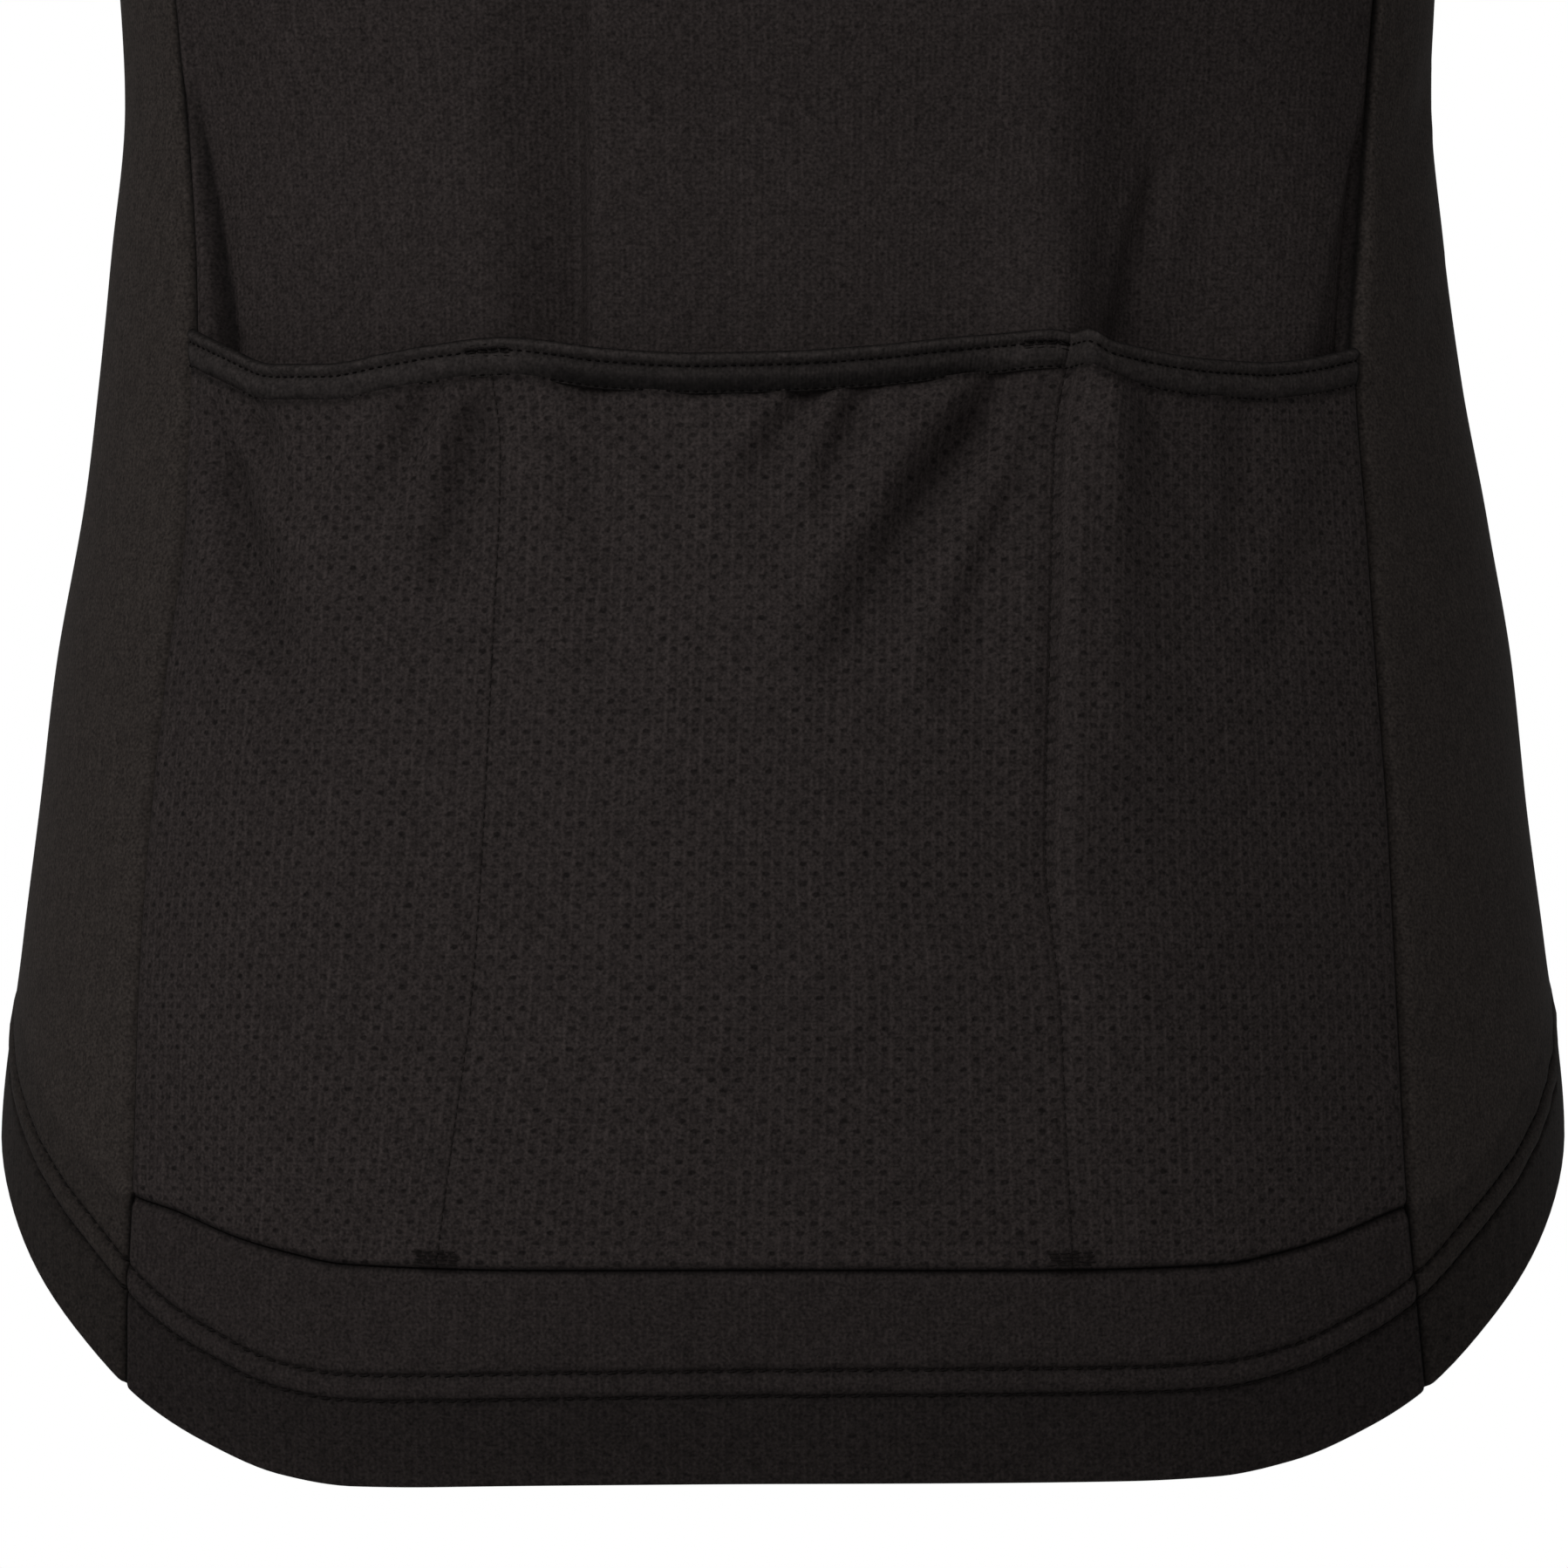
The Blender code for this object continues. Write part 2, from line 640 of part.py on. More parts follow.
def pocket_panel_sheet():
    count = sum(POCKET_COLUMNS) + 1
    rows = []
    for r in range(POCKET_ROWS + 1):
        height = r / POCKET_ROWS
        row = []
        for c in range(count):
            drop = TRIAL_DROP
            for _ in range(TRIALS):
                x = pocket_columns(drop)[c]
                low = pocket_seam(angle_of(x, drop, 1))
                high = mouth(x) + BINDING_HEIGHT + SEAM_GAP
                drop = mix(low, high, height)
            row.append(pocket_pair(x, drop, height))
        rows.append(row)
    return rows


def pocket_binding_sheet():
    """Elastic edging along the three pocket mouths, a little thicker than the pocket cloth."""
    count = sum(POCKET_COLUMNS) + 1
    rows = []
    for height, proud in BINDING_PROFILE:
        row = []
        for c in range(count):
            x = pocket_columns(DIVIDERS[0][0])[c]
            drop = mouth(x) + BINDING_HEIGHT * (1 - height)
            x = pocket_columns(drop)[c]
            outer, inner = pocket_pair(x, drop, 1.0)
            out = (outer - inner).normalized()
            row.append((outer + out * proud, inner))
        rows.append(row)
    return rows


# ---------------------------------------------------------------- sleeves and cuffs

def section_point(turn, share, side):
    """Point of a sleeve's section: an oval across the sleeve's own direction."""
    x, drop, tilt, half_height, half_depth = (value(share) for value in sleeve_section)
    tilt = math.radians(tilt)
    up = Vector((math.sin(tilt), 0, math.cos(tilt)))
    turn = math.radians(turn)
    point = Vector((x, 0, -drop)) + up * (half_height * math.cos(turn))
    point.y += half_depth * math.sin(turn)
    return Vector((side * point.x, point.y, point.z))


def armhole_start(turn, side):
    """Where the sleeve starts: the armhole's point, moved off the body panels' edge."""
    point = armhole(turn, side)
    normal = outward(point)
    along = armhole(turn + 1, side) - armhole(turn - 1, side)
    off = normal.cross(along).normalized()
    middle = Vector((side * SLEEVE[0][1], 0, -ARMHOLE_DROP))
    if off.dot(middle - point) < 0:
        off = -off
    return point + off * ARMHOLE_GAP, off


def sleeve_point(turn, share, side):
    start, _ = armhole_start(turn, side)
    fade = (1 - ease(share / SEAM_BLEND)) if share < SEAM_BLEND else 0.0
    return section_point(turn, share, side) + (start - section_point(turn, 0, side)) * fade


def sleeve_pair(turn, share, side):
    """Outer and inner point of a sleeve; at the armhole the wall stays off the body panels."""
    step = 0.02
    low, high = max(share - step, 0), min(share + step, 1)
    around = sleeve_point(turn + 1, share, side) - sleeve_point(turn - 1, share, side)
    along = sleeve_point(turn, high, side) - sleeve_point(turn, low, side)
    inward = around.cross(along).normalized() * side
    if share == 0:
        off = armhole_start(turn, side)[1]
        inward = (inward - off * min(0.0, inward.dot(off))).normalized()
    outer = sleeve_point(turn, share, side)
    return outer, outer + inward * KNIT_WALL


def sleeve_turns():
    """Turns round the armhole at every corner of the body panels' edges."""
    back = ARMHOLE_TURNS[::-1]
    front = [360 - turn for turn in ARMHOLE_TURNS]
    return back[:-1] + armpit_turns() + front[1:-1]


def sleeve_sheet(side):
    shares = [r / SLEEVE_ROWS for r in range(SLEEVE_ROWS + 1)]
    return [[sleeve_pair(turn, share, side) for turn in sleeve_turns()] for share in shares]


def cuff_sheet(side):
    """Elastic gripper band that carries on the line of the sleeve."""
    tilt = math.radians(SLEEVE[-1][3])
    along = Vector((side * math.cos(tilt), 0, -math.sin(tilt)))
    end = Vector((side * SLEEVE[-1][1], 0, -SLEEVE[-1][2]))
    rows = []
    for share in CUFF_ROWS:
        scale = mix(1.0, CUFF_HALF_HEIGHT / SLEEVE[-1][4], share)
        row = []
        for turn in sleeve_turns():
            spoke = (section_point(turn, 1.0, side) - end) * scale
            middle = end + along * (SEAM_GAP + CUFF_LENGTH * share)
            out = spoke.normalized()
            row.append((middle + spoke + out * CUFF_PROUD,
                        middle + spoke + out * (CUFF_PROUD - CUFF_WALL)))
        rows.append(row)
    return rows


# ---------------------------------------------------------------- collar and zip

def collar_pair(turn, side, height):
    """Outer and inner point of the stand collar at a share of its height."""
    foot = neckline(turn, side)
    step = neckline(turn - 0.5, side) - neckline(turn + 0.5, side)
    flat = Vector((step.y, -step.x, 0)).normalized()
    if flat.dot(Vector((foot.x, foot.y, 0))) < 0:
        flat = -flat
    rise = Vector((0, 0, 1)) - flat * COLLAR_LEAN
    outer = foot + Vector((0, 0, COLLAR_LIFT)) + rise * (collar_height(turn) * height)
    return outer, outer - flat * COLLAR_WALL


def collar_sheet():
    left = FRONT_NECK_TURNS + BACK_NECK_TURNS[-2::-1]
    right = left[-2::-1]
    rows = []
    for height in COLLAR_ROWS:
        row = [collar_pair(turn, 1, height) for turn in left]
        row += [collar_pair(turn, -1, height) for turn in right]
        rows.append(row)
    return rows


def zip_tape_sheet(side, front_sheet):
    """Half of the zip: the tape lies behind the front's edge, and the coil fills half the gap."""
    hidden = front_sheet[:-1]
    edges = [(row[0], row[1]) for row in hidden]
    for height in (0.0, ZIP_TOP / 2, ZIP_TOP):
        edges.append((collar_pair(FRONT_NECK_TURNS[0], side, height),
                      collar_pair(FRONT_NECK_TURNS[1], side, height)))
    rows = []
    for (outer0, inner0), (outer1, inner1) in edges:
        into = inner0 - outer0
        into.x = 0
        into.normalize()

        def behind(x, pair, depth):
            share = (side * x - pair[0].x) / (pair[1].x - pair[0].x)
            return mix(pair[0], pair[1], share) + into * depth

        faces, backs = (outer0, outer1), (inner0, inner1)
        row = []
        for x in (SEAM_GAP / 2, COIL_HALF_WIDTH):
            row.append((behind(x, faces, -COIL_PROUD), behind(x, backs, LAY_GAP + TAPE_WALL)))
        for x in (TAPE_START, TAPE_REACH):
            row.append((behind(x, backs, LAY_GAP), behind(x, backs, LAY_GAP + TAPE_WALL)))
        rows.append(row)
    return rows


def zip_frame():
    """Matrix at the end of the coil: x across, y out of the cloth, z up along the zip."""
    foot = neckline(180, 1)
    rise = Vector((0, COLLAR_LEAN, 1)).normalized()
    out = Vector((0, -1, COLLAR_LEAN)).normalized()
    climb = collar_height(180) * ZIP_TOP
    place = foot + Vector((0, 0, COLLAR_LIFT)) + Vector((0, COLLAR_LEAN, 1)) * climb
    across = Vector((-1, 0, 0))
    frame = Matrix((across, out, rise)).transposed().to_4x4()
    frame.translation = place * MM
    return frame


def add_box(name, box, frame, collection, bevel=0.0):
    """Box given by half width, lowest, highest, inner and outer face, in the zip's own frame."""
    half, low, high, inner, outer = box
    bpy.ops.mesh.primitive_cube_add(size=1)
    made = bpy.context.object
    made.name = name
    made.data.transform(Matrix.Diagonal((2 * half * MM, (outer - inner) * MM, (high - low) * MM, 1)))
    made.data.transform(Matrix.Translation((0, (inner + outer) / 2 * MM, (low + high) / 2 * MM)))
    made.matrix_world = frame
    if bevel:
        rounding = made.modifiers.new("rounded edges", "BEVEL")
        rounding.width = bevel * MM
        rounding.segments = 2
    for old in list(made.users_collection):
        old.objects.unlink(made)
    collection.objects.link(made)
    return made


def add_bail(frame, collection):
    """Wire arch over the slider that holds the pull tab."""
    shape = bpy.data.curves.new("bail_wire", "CURVE")
    shape.dimensions = "3D"
    shape.bevel_depth = BAIL_WIRE * MM
    shape.bevel_resolution = 2
    shape.use_fill_caps = True
    spline = shape.splines.new("POLY")
    spline.points.add(BAIL_STEPS)
    for k in range(BAIL_STEPS + 1):
        turn = math.pi * k / BAIL_STEPS
        rise = SLIDER_FRONT[4] - BAIL_SUNK + (BAIL_RISE + BAIL_SUNK) * math.sin(turn) ** BAIL_ARCH
        along = PULL_PIVOT[0] + BAIL_HALF_LENGTH * math.cos(turn)
        spline.points[k].co = (0, rise * MM, along * MM, 1)
    source = bpy.data.objects.new("bail_curve", shape)
    collection.objects.link(source)
    source.matrix_world = frame
    bpy.context.view_layer.update()
    evaluated = source.evaluated_get(bpy.context.evaluated_depsgraph_get())
    mesh = bpy.data.meshes.new_from_object(evaluated)
    welded = bmesh.new()
    welded.from_mesh(mesh)
    bmesh.ops.remove_doubles(welded, verts=welded.verts, dist=0.00001)
    welded.to_mesh(mesh)
    welded.free()
    bail = bpy.data.objects.new("bail", mesh)
    bail.matrix_world = frame
    collection.objects.link(bail)
    bpy.data.objects.remove(source)
    return bail


def add_slider(frame, look, parts, helpers):
    """Zip slider: a plate outside and one inside the zip, joined by the post past the coil's end."""
    slider = add_box("zip_slider", SLIDER_FRONT, frame, parts, bevel=SLIDER_ROUNDING)
    slider.data.materials.append(look)
    joined = [add_box("slider_post", SLIDER_POST, frame, helpers),
              add_box("slider_back", SLIDER_BACK, frame, helpers, bevel=SLIDER_ROUNDING),
              add_bail(frame, helpers)]
    for helper in joined:
        helper.hide_render = True
        helper.display_type = "WIRE"
        union = slider.modifiers.new(helper.name, "BOOLEAN")
        union.operation = "UNION"
        union.object = helper
    return slider


def rounded_end(half, low, steps):
    """Half circle at the lower end of the pull tab, from left to right."""
    points = []
    for k in range(steps + 1):
        turn = math.pi * k / steps
        points.append((-half * math.cos(turn), low + half - half * math.sin(turn)))
    return points


def add_pull(frame, look, parts):
    """Pull tab: a flat tab with a window, whose top bar lies under the bail."""
    along, out = PULL_PIVOT
    window, reach = PULL_WINDOW
    top_half, low_half = PULL_HALF_WIDTH
    outline = [(top_half, PULL_BAR), (-top_half, PULL_BAR)]
    outline += rounded_end(low_half, -PULL_LENGTH, 2 * CORNER_STEPS)
    hole = [(window, -PULL_BAR), (-window, -PULL_BAR), (-window, -reach), (window, -reach)]
    shape = bpy.data.curves.new("zip_pull", "CURVE")
    shape.dimensions = "2D"
    shape.fill_mode = "BOTH"
    shape.extrude = PULL_THICKNESS / 2 * MM
    for ring in (outline, hole):
        spline = shape.splines.new("POLY")
        spline.points.add(len(ring) - 1)
        spline.use_cyclic_u = True
        for point, (x, z) in zip(spline.points, ring):
            point.co = (x * MM, z * MM, 0, 1)
    shape.materials.append(look)
    pull = bpy.data.objects.new("zip_pull", shape)
    parts.objects.link(pull)
    hung = Matrix.Translation((0, out * MM, along * MM)) @ Matrix.Rotation(math.pi / 2, 4, "X")
    pull.matrix_world = frame @ hung
    return pull


# ---------------------------------------------------------------- the jersey

def build():
    for old in list(bpy.data.objects):
        bpy.data.objects.remove(old)
    parts = bpy.data.collections.new("cycling_jersey")
    helpers = bpy.data.collections.new("cutters")
    bpy.context.scene.collection.children.link(parts)
    bpy.context.scene.collection.children.link(helpers)

    looks = {name: material(name, *look) for name, look in LOOKS.items()}
    make_wall("back_panel", back_panel_sheet(), looks["mesh_knit"], parts)
    make_wall("pocket_panel", pocket_panel_sheet(), looks["mesh_knit"], parts)
    make_wall("pocket_binding", pocket_binding_sheet(), looks["elastic"], parts)
    make_wall("collar", collar_sheet(), looks["plain_knit"], parts)
    for side, name in ((1, "left"), (-1, "right")):
        front = front_panel_sheet(side)
        make_wall("front_" + name, front, looks["mesh_knit"], parts)
        make_wall("side_panel_" + name, side_panel_sheet(side), looks["plain_knit"], parts)
        make_wall("sleeve_" + name, sleeve_sheet(side), looks["plain_knit"], parts, wraps=True)
        make_wall("cuff_" + name, cuff_sheet(side), looks["elastic"], parts, wraps=True)
        make_wall("zip_tape_" + name, zip_tape_sheet(side, front), looks["zip_tape"], parts)
    frame = zip_frame()
    add_slider(frame, looks["zip_plastic"], parts, helpers)
    add_pull(frame, looks["zip_plastic"], parts)


build()
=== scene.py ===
"""Finished look of the cycling jersey.

Every cloth piece is made again on the form of its solid, as a finer closed wall with its creases,
the dips of its seams and its turned edges. Stitches and the zip's coil are small shapes set along
lines of those walls. Tables and functions work in millimetres and measure heights as a drop below
the middle of the neck; the meshes are in metres. The wearer's left is +X, the front faces -Y.
"""
import math

import bpy
import numpy as np
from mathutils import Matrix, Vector


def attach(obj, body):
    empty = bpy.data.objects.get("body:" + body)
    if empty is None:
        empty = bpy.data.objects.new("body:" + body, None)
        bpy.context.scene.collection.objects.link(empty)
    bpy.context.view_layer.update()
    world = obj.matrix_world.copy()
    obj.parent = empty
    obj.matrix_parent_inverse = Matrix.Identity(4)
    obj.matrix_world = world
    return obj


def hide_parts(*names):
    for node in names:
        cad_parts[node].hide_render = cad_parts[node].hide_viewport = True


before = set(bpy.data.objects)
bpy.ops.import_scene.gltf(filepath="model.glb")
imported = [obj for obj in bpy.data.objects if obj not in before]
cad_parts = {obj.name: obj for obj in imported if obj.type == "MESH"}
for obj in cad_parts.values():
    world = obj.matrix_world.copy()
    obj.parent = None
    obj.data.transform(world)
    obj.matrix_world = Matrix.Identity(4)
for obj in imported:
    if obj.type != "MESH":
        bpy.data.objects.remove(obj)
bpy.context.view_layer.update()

MM = 0.001

# ---------------------------------------------------------------- the jersey's cut and form

KNIT_WALL = 1.2            # one layer of knit
HEM_WALL = 2.0             # the turned-up hem, two layers
COLLAR_WALL = 2.0
CUFF_WALL = 1.8
TAPE_WALL = 0.8
LAY_GAP = 0.35             # between the back panel and the pocket cloth where they are sewn
HEM_BAND = (19.0, 24.4)    # heights of the two rows of hem stitching above the edge
PANEL_TUCK = 1.6           # how far the back panel sits in behind the pocket cloth's seams
PANEL_SAG = 5.0            # how much further in it goes between them
SAG_RUN = 120              # height above the pocket mouths over which it goes in
SAG_PARTING = 15           # half width of the strip that stays out along a divider
TUCK_RUN = 62              # height above the pocket mouths over which the tuck eases in
TUCK_STEP = (1.3, -0.3)    # below the pocket seam: where the step to the hem begins and ends
SAG_RISE = 40              # height above the pocket seam over which the sag begins
POCKET_EASE = (3.4, 3.4, 3.0)   # how far the right, middle and left pocket bulge
DIVIDER_RIDGE = (1.2, 3.0)      # how far the left and the right divider stand out under the mouths
RIDGE_HALF = (8, 9)             # half widths of those two ridges
RIDGE_START = (425, 40)         # drop where they begin, and over what height they rise
RIDGE_SINK = (500, 130)         # drop where they begin to sink again, and over what height
RIDGE_LOSS = 0.8                # share by which they sink
RIDGE_END = 20                  # height above the pocket seam over which they end
POCKET_FULL_AT = 0.45      # share of the pocket's height where the bulge is full
POCKET_SKEW = 2.5          # how far the right pocket's bulge is moved towards its divider
POCKET_TILT = 7.0          # how much its cloth falls from there to the side seam, under its mouth
TILT_RUN = (0.25, 0.55)    # heights of the pocket cloth, as shares, over which it comes to that
TILT_TURN = 0.12           # share of its width over which it turns back to the divider
# Inwards from a divider: where the middle pocket's own look begins, over what distance it grows
MIDDLE_RIGHT = (10, 14)
MIDDLE_LEFT = (3, 14)
# The back's creases beside the side seams, above the pockets
PARTING_RUN = 58           # height above the mouths over which they open
PARTING_SOON = 3.0         # how many times sooner than that they are full
RIGHT_LINE = (0.6, 8.0)    # distance of the right one from its seam, at its top and at the mouth
RIGHT_RUN = 36             # how far beyond it the back lies fully in
RIGHT_STAYS = 0.2          # share of the sag that there is at it
RIGHT_WEDGE = (4.4, 0.9)   # depth of the groove along that seam, distance over which it begins
LEFT_LINE = (0.6, 5.0)     # distance of the left one from its seam, at its top and at the mouth
LEFT_CREASE = (2.2, 1.1)   # its depth and half width
LEFT_FLAT = (3.0, 3.6)     # width beside it that stays out, width over which the back goes in
LEFT_SHADE = 0.75           # how much darker the painted shade in it is
LEFT_SHADE_OFF = 0.3        # how far beyond its line that painted shade is darkest
LEFT_SHADE_HALF = (0.75, 1.25)   # half width of that shade at its top and at the mouth
SHOWN_BELOW = (12, 10)     # below the mouths: where that shade ends, over what height it fades
# Shade of a crease
CREASE_DARK = 0.05         # how much darker the cloth is for every mm of a crease's depth
CREASE_DARKEST = 5.0       # depth from which it gets no darker
ARC_PER_DEGREE = 2.6       # length of one degree round the body at the hem

# Torso rings: drop, half width, front depth, back depth, sideways lean of the middle
RING_ROUNDNESS = 2.2
TORSO = (
    (-12, 36, 38, 38, 0),
    (0, 68, 48, 46, 0),
    (18, 116, 56, 52, 0),
    (45, 188, 63, 70, 0),
    (75, 196, 72, 86, 0),
    (120, 187, 98, 103, 0),
    (160, 178, 112, 109, 0),
    (200, 168, 120, 108, 0),
    (260, 161, 121, 102, 0),
    (330, 150, 108, 95, 0.8),
    (410, 142.2, 100, 94, 1.6),
    (440, 144.7, 99, 99, 1.6),
    (470, 148.2, 99, 106, 1.0),
    (501, 153.1, 101, 114, 0),
    (531, 158.3, 104, 121.5, 0),
    (562, 161.9, 106, 127.5, 0),
    (592, 165.8, 108, 131.5, 0),
    (634, 170.2, 109, 133, 0),
    (665, 170.5, 109, 130, 0),
    (706, 169, 109, 122, 0),
    (730, 168, 109, 117, 0),
)
TAIL_DROP = 705.8
# Hem edge: angle round the body from centre back, rise above the tail
HEM_RISE = (
    (0, 0), (24, 0), (31, 0.4), (38, 3.2), (46, 10.3), (52, 17.4), (61.4, 32), (71, 46.4),
    (80.3, 61), (90, 76), (98, 86), (108, 93), (122, 96), (150, 95), (180, 91),
)
# How much lower than that it hangs: angle from centre back, below 0 on the wearer's right
HEM_SHIFT = (
    (-90, 0), (-62, -0.5), (-42, -0.9), (-22, -0.1), (0, 0.3), (12, 0.9), (29, 2.0), (42, 2.6),
    (54, 2.6), (72, 0.9), (90, 0),
)
# Line of the pocket's bottom seam: angle from centre back, drop
POCKET_SEAM = (
    (0, 660.2), (17, 660.4), (31, 659.4), (36, 657.2), (41, 654.2), (48, 648.6), (54, 645),
    (70, 621), (90, 592), (120, 570), (180, 570),
)
# Seams between the back and the side panels: drop, distance from the middle on the left, right
BACK_SEAM = (
    (190, 166.4, 166.4), (225, 158.5, 157.5), (260, 151, 149), (330, 138.5, 135.5),
    (406, 130.8, 127.4), (445, 128.6, 124.6), (470, 128.2, 123.2), (500, 128.8, 125),
    (530, 132.3, 126.9), (567, 135.8, 129.7), (605, 138.5, 131.6), (645, 140, 133.4),
    (687, 141.9, 137.6), (706, 143, 139.5),
)
# Seams between the front and the side panels: drop, distance from the middle
FRONT_SEAM = (
    (190, 166.4), (260, 150), (330, 137), (406, 129), (470, 131), (530, 138), (600, 144),
    (706, 148),
)
# Top edge of the pocket binding: x, drop
POCKET_MOUTH = (
    (-123, 464), (-112, 466.6), (-100.7, 467.9), (-90, 467.9), (-82, 467.6), (-74, 466.6),
    (-67, 465.6), (-61.5, 462.7), (-55.8, 461.6), (-37, 463.4), (-18.7, 465.6), (0, 466.9),
    (18.3, 467.2), (36.8, 466), (60, 462.9), (74, 464.5), (83, 466.2), (96.5, 468.6),
    (108, 468.4), (120, 463.6), (128.5, 459.6),
)
BINDING_HEIGHT = 8.5
# Rows of stitching that part the pockets: drop, x of the left one, x of the right one
DIVIDERS = (
    (464, 63, -60), (488, 60, -56.5), (532, 61.6, -55.8), (573, 63.6, -55.1), (604, 66, -58.2),
    (632, 69.8, -59.4), (660, 73.6, -61),
)

# Neck, armholes, sleeves, cuffs
NECK_HALF_WIDTH = 68
NECK_FRONT = 72
NECK_BACK = 50.5
NECK_SHARE = 6 / 11        # share of a half panel's upper edge that is neckline
COLLAR_HEIGHTS = (
    (0, 47), (10, 45.5), (20, 41.5), (30, 38.1), (40, 36.3), (60, 34.9), (90, 34), (130, 35),
    (180, 36),
)
COLLAR_LEAN = 0.17
COLLAR_LIFT = 0.1
ARMHOLE_DROP = 122.5
ARMHOLE_HALF_HEIGHT = 77.5
ARMHOLE_HALF_DEPTH = 55
ARMPIT_DROP = 190
# Sleeve sections: share of the way, x, drop, tilt of the sleeve in degrees, half height, half depth
SLEEVE = (
    (0.0, 177.5, 122.5, 9.2, 78.5, 55),
    (0.3, 212, 151, 28, 66, 58),
    (0.6, 248, 196, 44, 58, 55),
    (0.85, 281, 246, 50, 54, 53),
    (1.0, 302, 277, 52, 52.5, 52),
)
SEAM_BLEND = 0.3           # share of the sleeve over which the armhole's own shape fades out
SLEEVE_LENGTH = 200        # along its middle
CUFF_LENGTH = 34
CUFF_HALF_HEIGHT = 51
CUFF_PROUD = 0.3

# Zip
ZIP_HALF_GAP = 3.5
TAPE_REACH = 12
ZIP_TOP = 0.9              # share of the collar's height where the coil ends
ZIP_STEPS = 240            # rows of the tape up the front
COLLAR_STEPS = 16          # and up the collar
SMOOTH_ROWS = 4            # rows to either side over which the tape's way is evened out
TAPE_COLUMNS = (1.2, 1.8, 2.9, 4.4, 6, 7.6, 9.2, 10.4, 11.2, 11.6, 11.8, 11.9, 12)
TOOTH = (3.3, 0.66, 2.0, 0.2)   # length across the zip, thickness, depth, rounding
TOOTH_PITCH = 1.6
TOOTH_MIDDLE = 1.1         # x of a tooth's middle
TOOTH_DEPTH = 0.42         # its depth below the outer face of the cloth
TOOTH_TAPER = (1.12, 0.9)  # thickness of a tooth's head and of its root, as shares

# ---------------------------------------------------------------- how the cloth is finished

SEAM_CLOSE = 0.005         # half the gap between the walls of two pieces that are sewn together
SEAM_DIP = 1.1             # how far a sewn edge dips in
SEAM_SOFT = 1.0            # over what distance
ARM_TURN = 7.0             # length of sleeve over which its wall turns into the body's
NECK_TURN = 4.0            # height over which the collar's wall turns into the body's
FOOT_SUNK = 0.5            # how far the collar's lower edge goes in behind the body's
SEAM_DARK = 0.82           # how much darker packed stitches and painted shade make a seam
SEAM_DARK_HALF = 0.65      # over what distance
ROW_DARK = 0.36            # the same along the hem's rows of stitching
ROW_DARK_HALF = 1.1
HEM_GROOVE = 0.7           # depth of the furrow of a row of stitching
HEM_GROOVE_HALF = 0.6      # its half width
HEM_TUBE = 0.45            # how far the cloth stands up between the two rows
HEM_TUBE_HALF = 1.9        # half width of that
HEM_CURL = 2.6             # how far the edge curls in below them
HEM_CURL_AT = (26, 24)     # angle where it curls most, and over what angle to either side
PUCKER = 0.22              # size of the puckers along the rows
PUCKER_HALF = 2.6          # how far above and below a row they reach
HEM_FADE = (0.4, 1.4)      # above the upper row: where the turned-up hem ends, over what height
FOOT_FURROW = (0.7, 1.0)   # furrow below the pocket seam: depth, half width
FOOT_DARK_AT = 0.4         # how far below that seam its stitches and painted shade are darkest
FOOT_DARK_HALF = 0.45      # half width of the dark along the pocket cloth's lower edge
STEP_END = 2.2             # width of a side panel over which the back's tuck runs out
TOP_ROW = 0.6              # where a side panel's row below the armhole lies, as a share
ZIP_FURROW = (0.25, 4.0, 0.7)        # furrow beside the zip: depth, distance, half width
COLLAR_FURROWS = (0.25, (4.5, 2.6), 0.8)   # depth, distances from its top and foot, half width
DRIFT = 0.55               # slow rise and fall of the body's cloth
SLEEVE_DRIFT = 0.8         # of the sleeves'
COLLAR_DRIFT = 0.3         # of the collar's
WAVES = 14                 # number of waves that make it up
WAVE_LENGTHS = (38, 150)   # the shortest and the longest of them
COLLAR_WAVE_LENGTHS = (60, 120)
# Where the body's drift begins, and over what distance it grows
CALM_ZIP = (6, 30)         # beside the zip
CALM_NECK = (20, 60)       # below the neck
CALM_ARM = (125, 25)       # towards the arms, where it ends instead
CALM_ARMPIT = (225, 30)    # upwards from this drop, where it ends there
STEEP_FLANK = 0.7          # width of a crease's steeper flank, as a share of its own
WIDE_FLANK = 1.3           # and of the other
CREASE_START = (0.3, 0.22)     # share of its depth at its start, share of its way to the full depth
CREASE_SPREAD = (0.75, 1.25)   # its width at its start and its end, as shares
CREASE_BANKS = (0.35, 2.0)     # height of the banks beside it and their distance, as shares
VALLEY_START = (50, 90)    # above a valley's top: where it begins, over what height it deepens
VALLEY_SPREAD = (1.15, 0.9)    # its width at its top and its bottom, as shares
POCKET_GROOVE = 0.15       # depth of the dividers' furrow in the pocket cloth
BINDING_GROOVE = 0.25      # and in the binding
GROOVE_HALF = 0.6          # its half width
POCKET_DIP = 0.9           # how far its side edges dip in, as a share of other seams
POCKET_ROOM = 2.0          # bulge from which its creases have their full depth
BINDING_LAP = 0.5          # how far its upper edge ends above the binding's lower edge
POCKET_FOOT = (0.8, 0.8)   # how far the pocket cloth's lower edge dips, over what height
MOUTH_PRESS = (0.8, 3.0)   # the same for its upper edge in the middle
GATHER = (0.28, 7)         # small gathers under the binding: size, height over which they fade
DIVIDER_DARK = (0.12, 0.5)     # how much darker a divider is, and its half width
MOUTH_SHADOW = (0.45, 0.6, 0.9)  # the same for painted shadow under the binding, with its distance
BINDING_DIP = 0.5          # how far the binding's ends dip in, as a share of other seams
BINDING_LEAN = 1.3         # how far the middle of the binding leans out at its top
BINDING_THIN = 0.25        # least thickness of the binding, and how far its back lies in
BINDING_RIPPLE = (0.12, 3.1, 1.5)    # ripples in it: size, distance below the top, half height
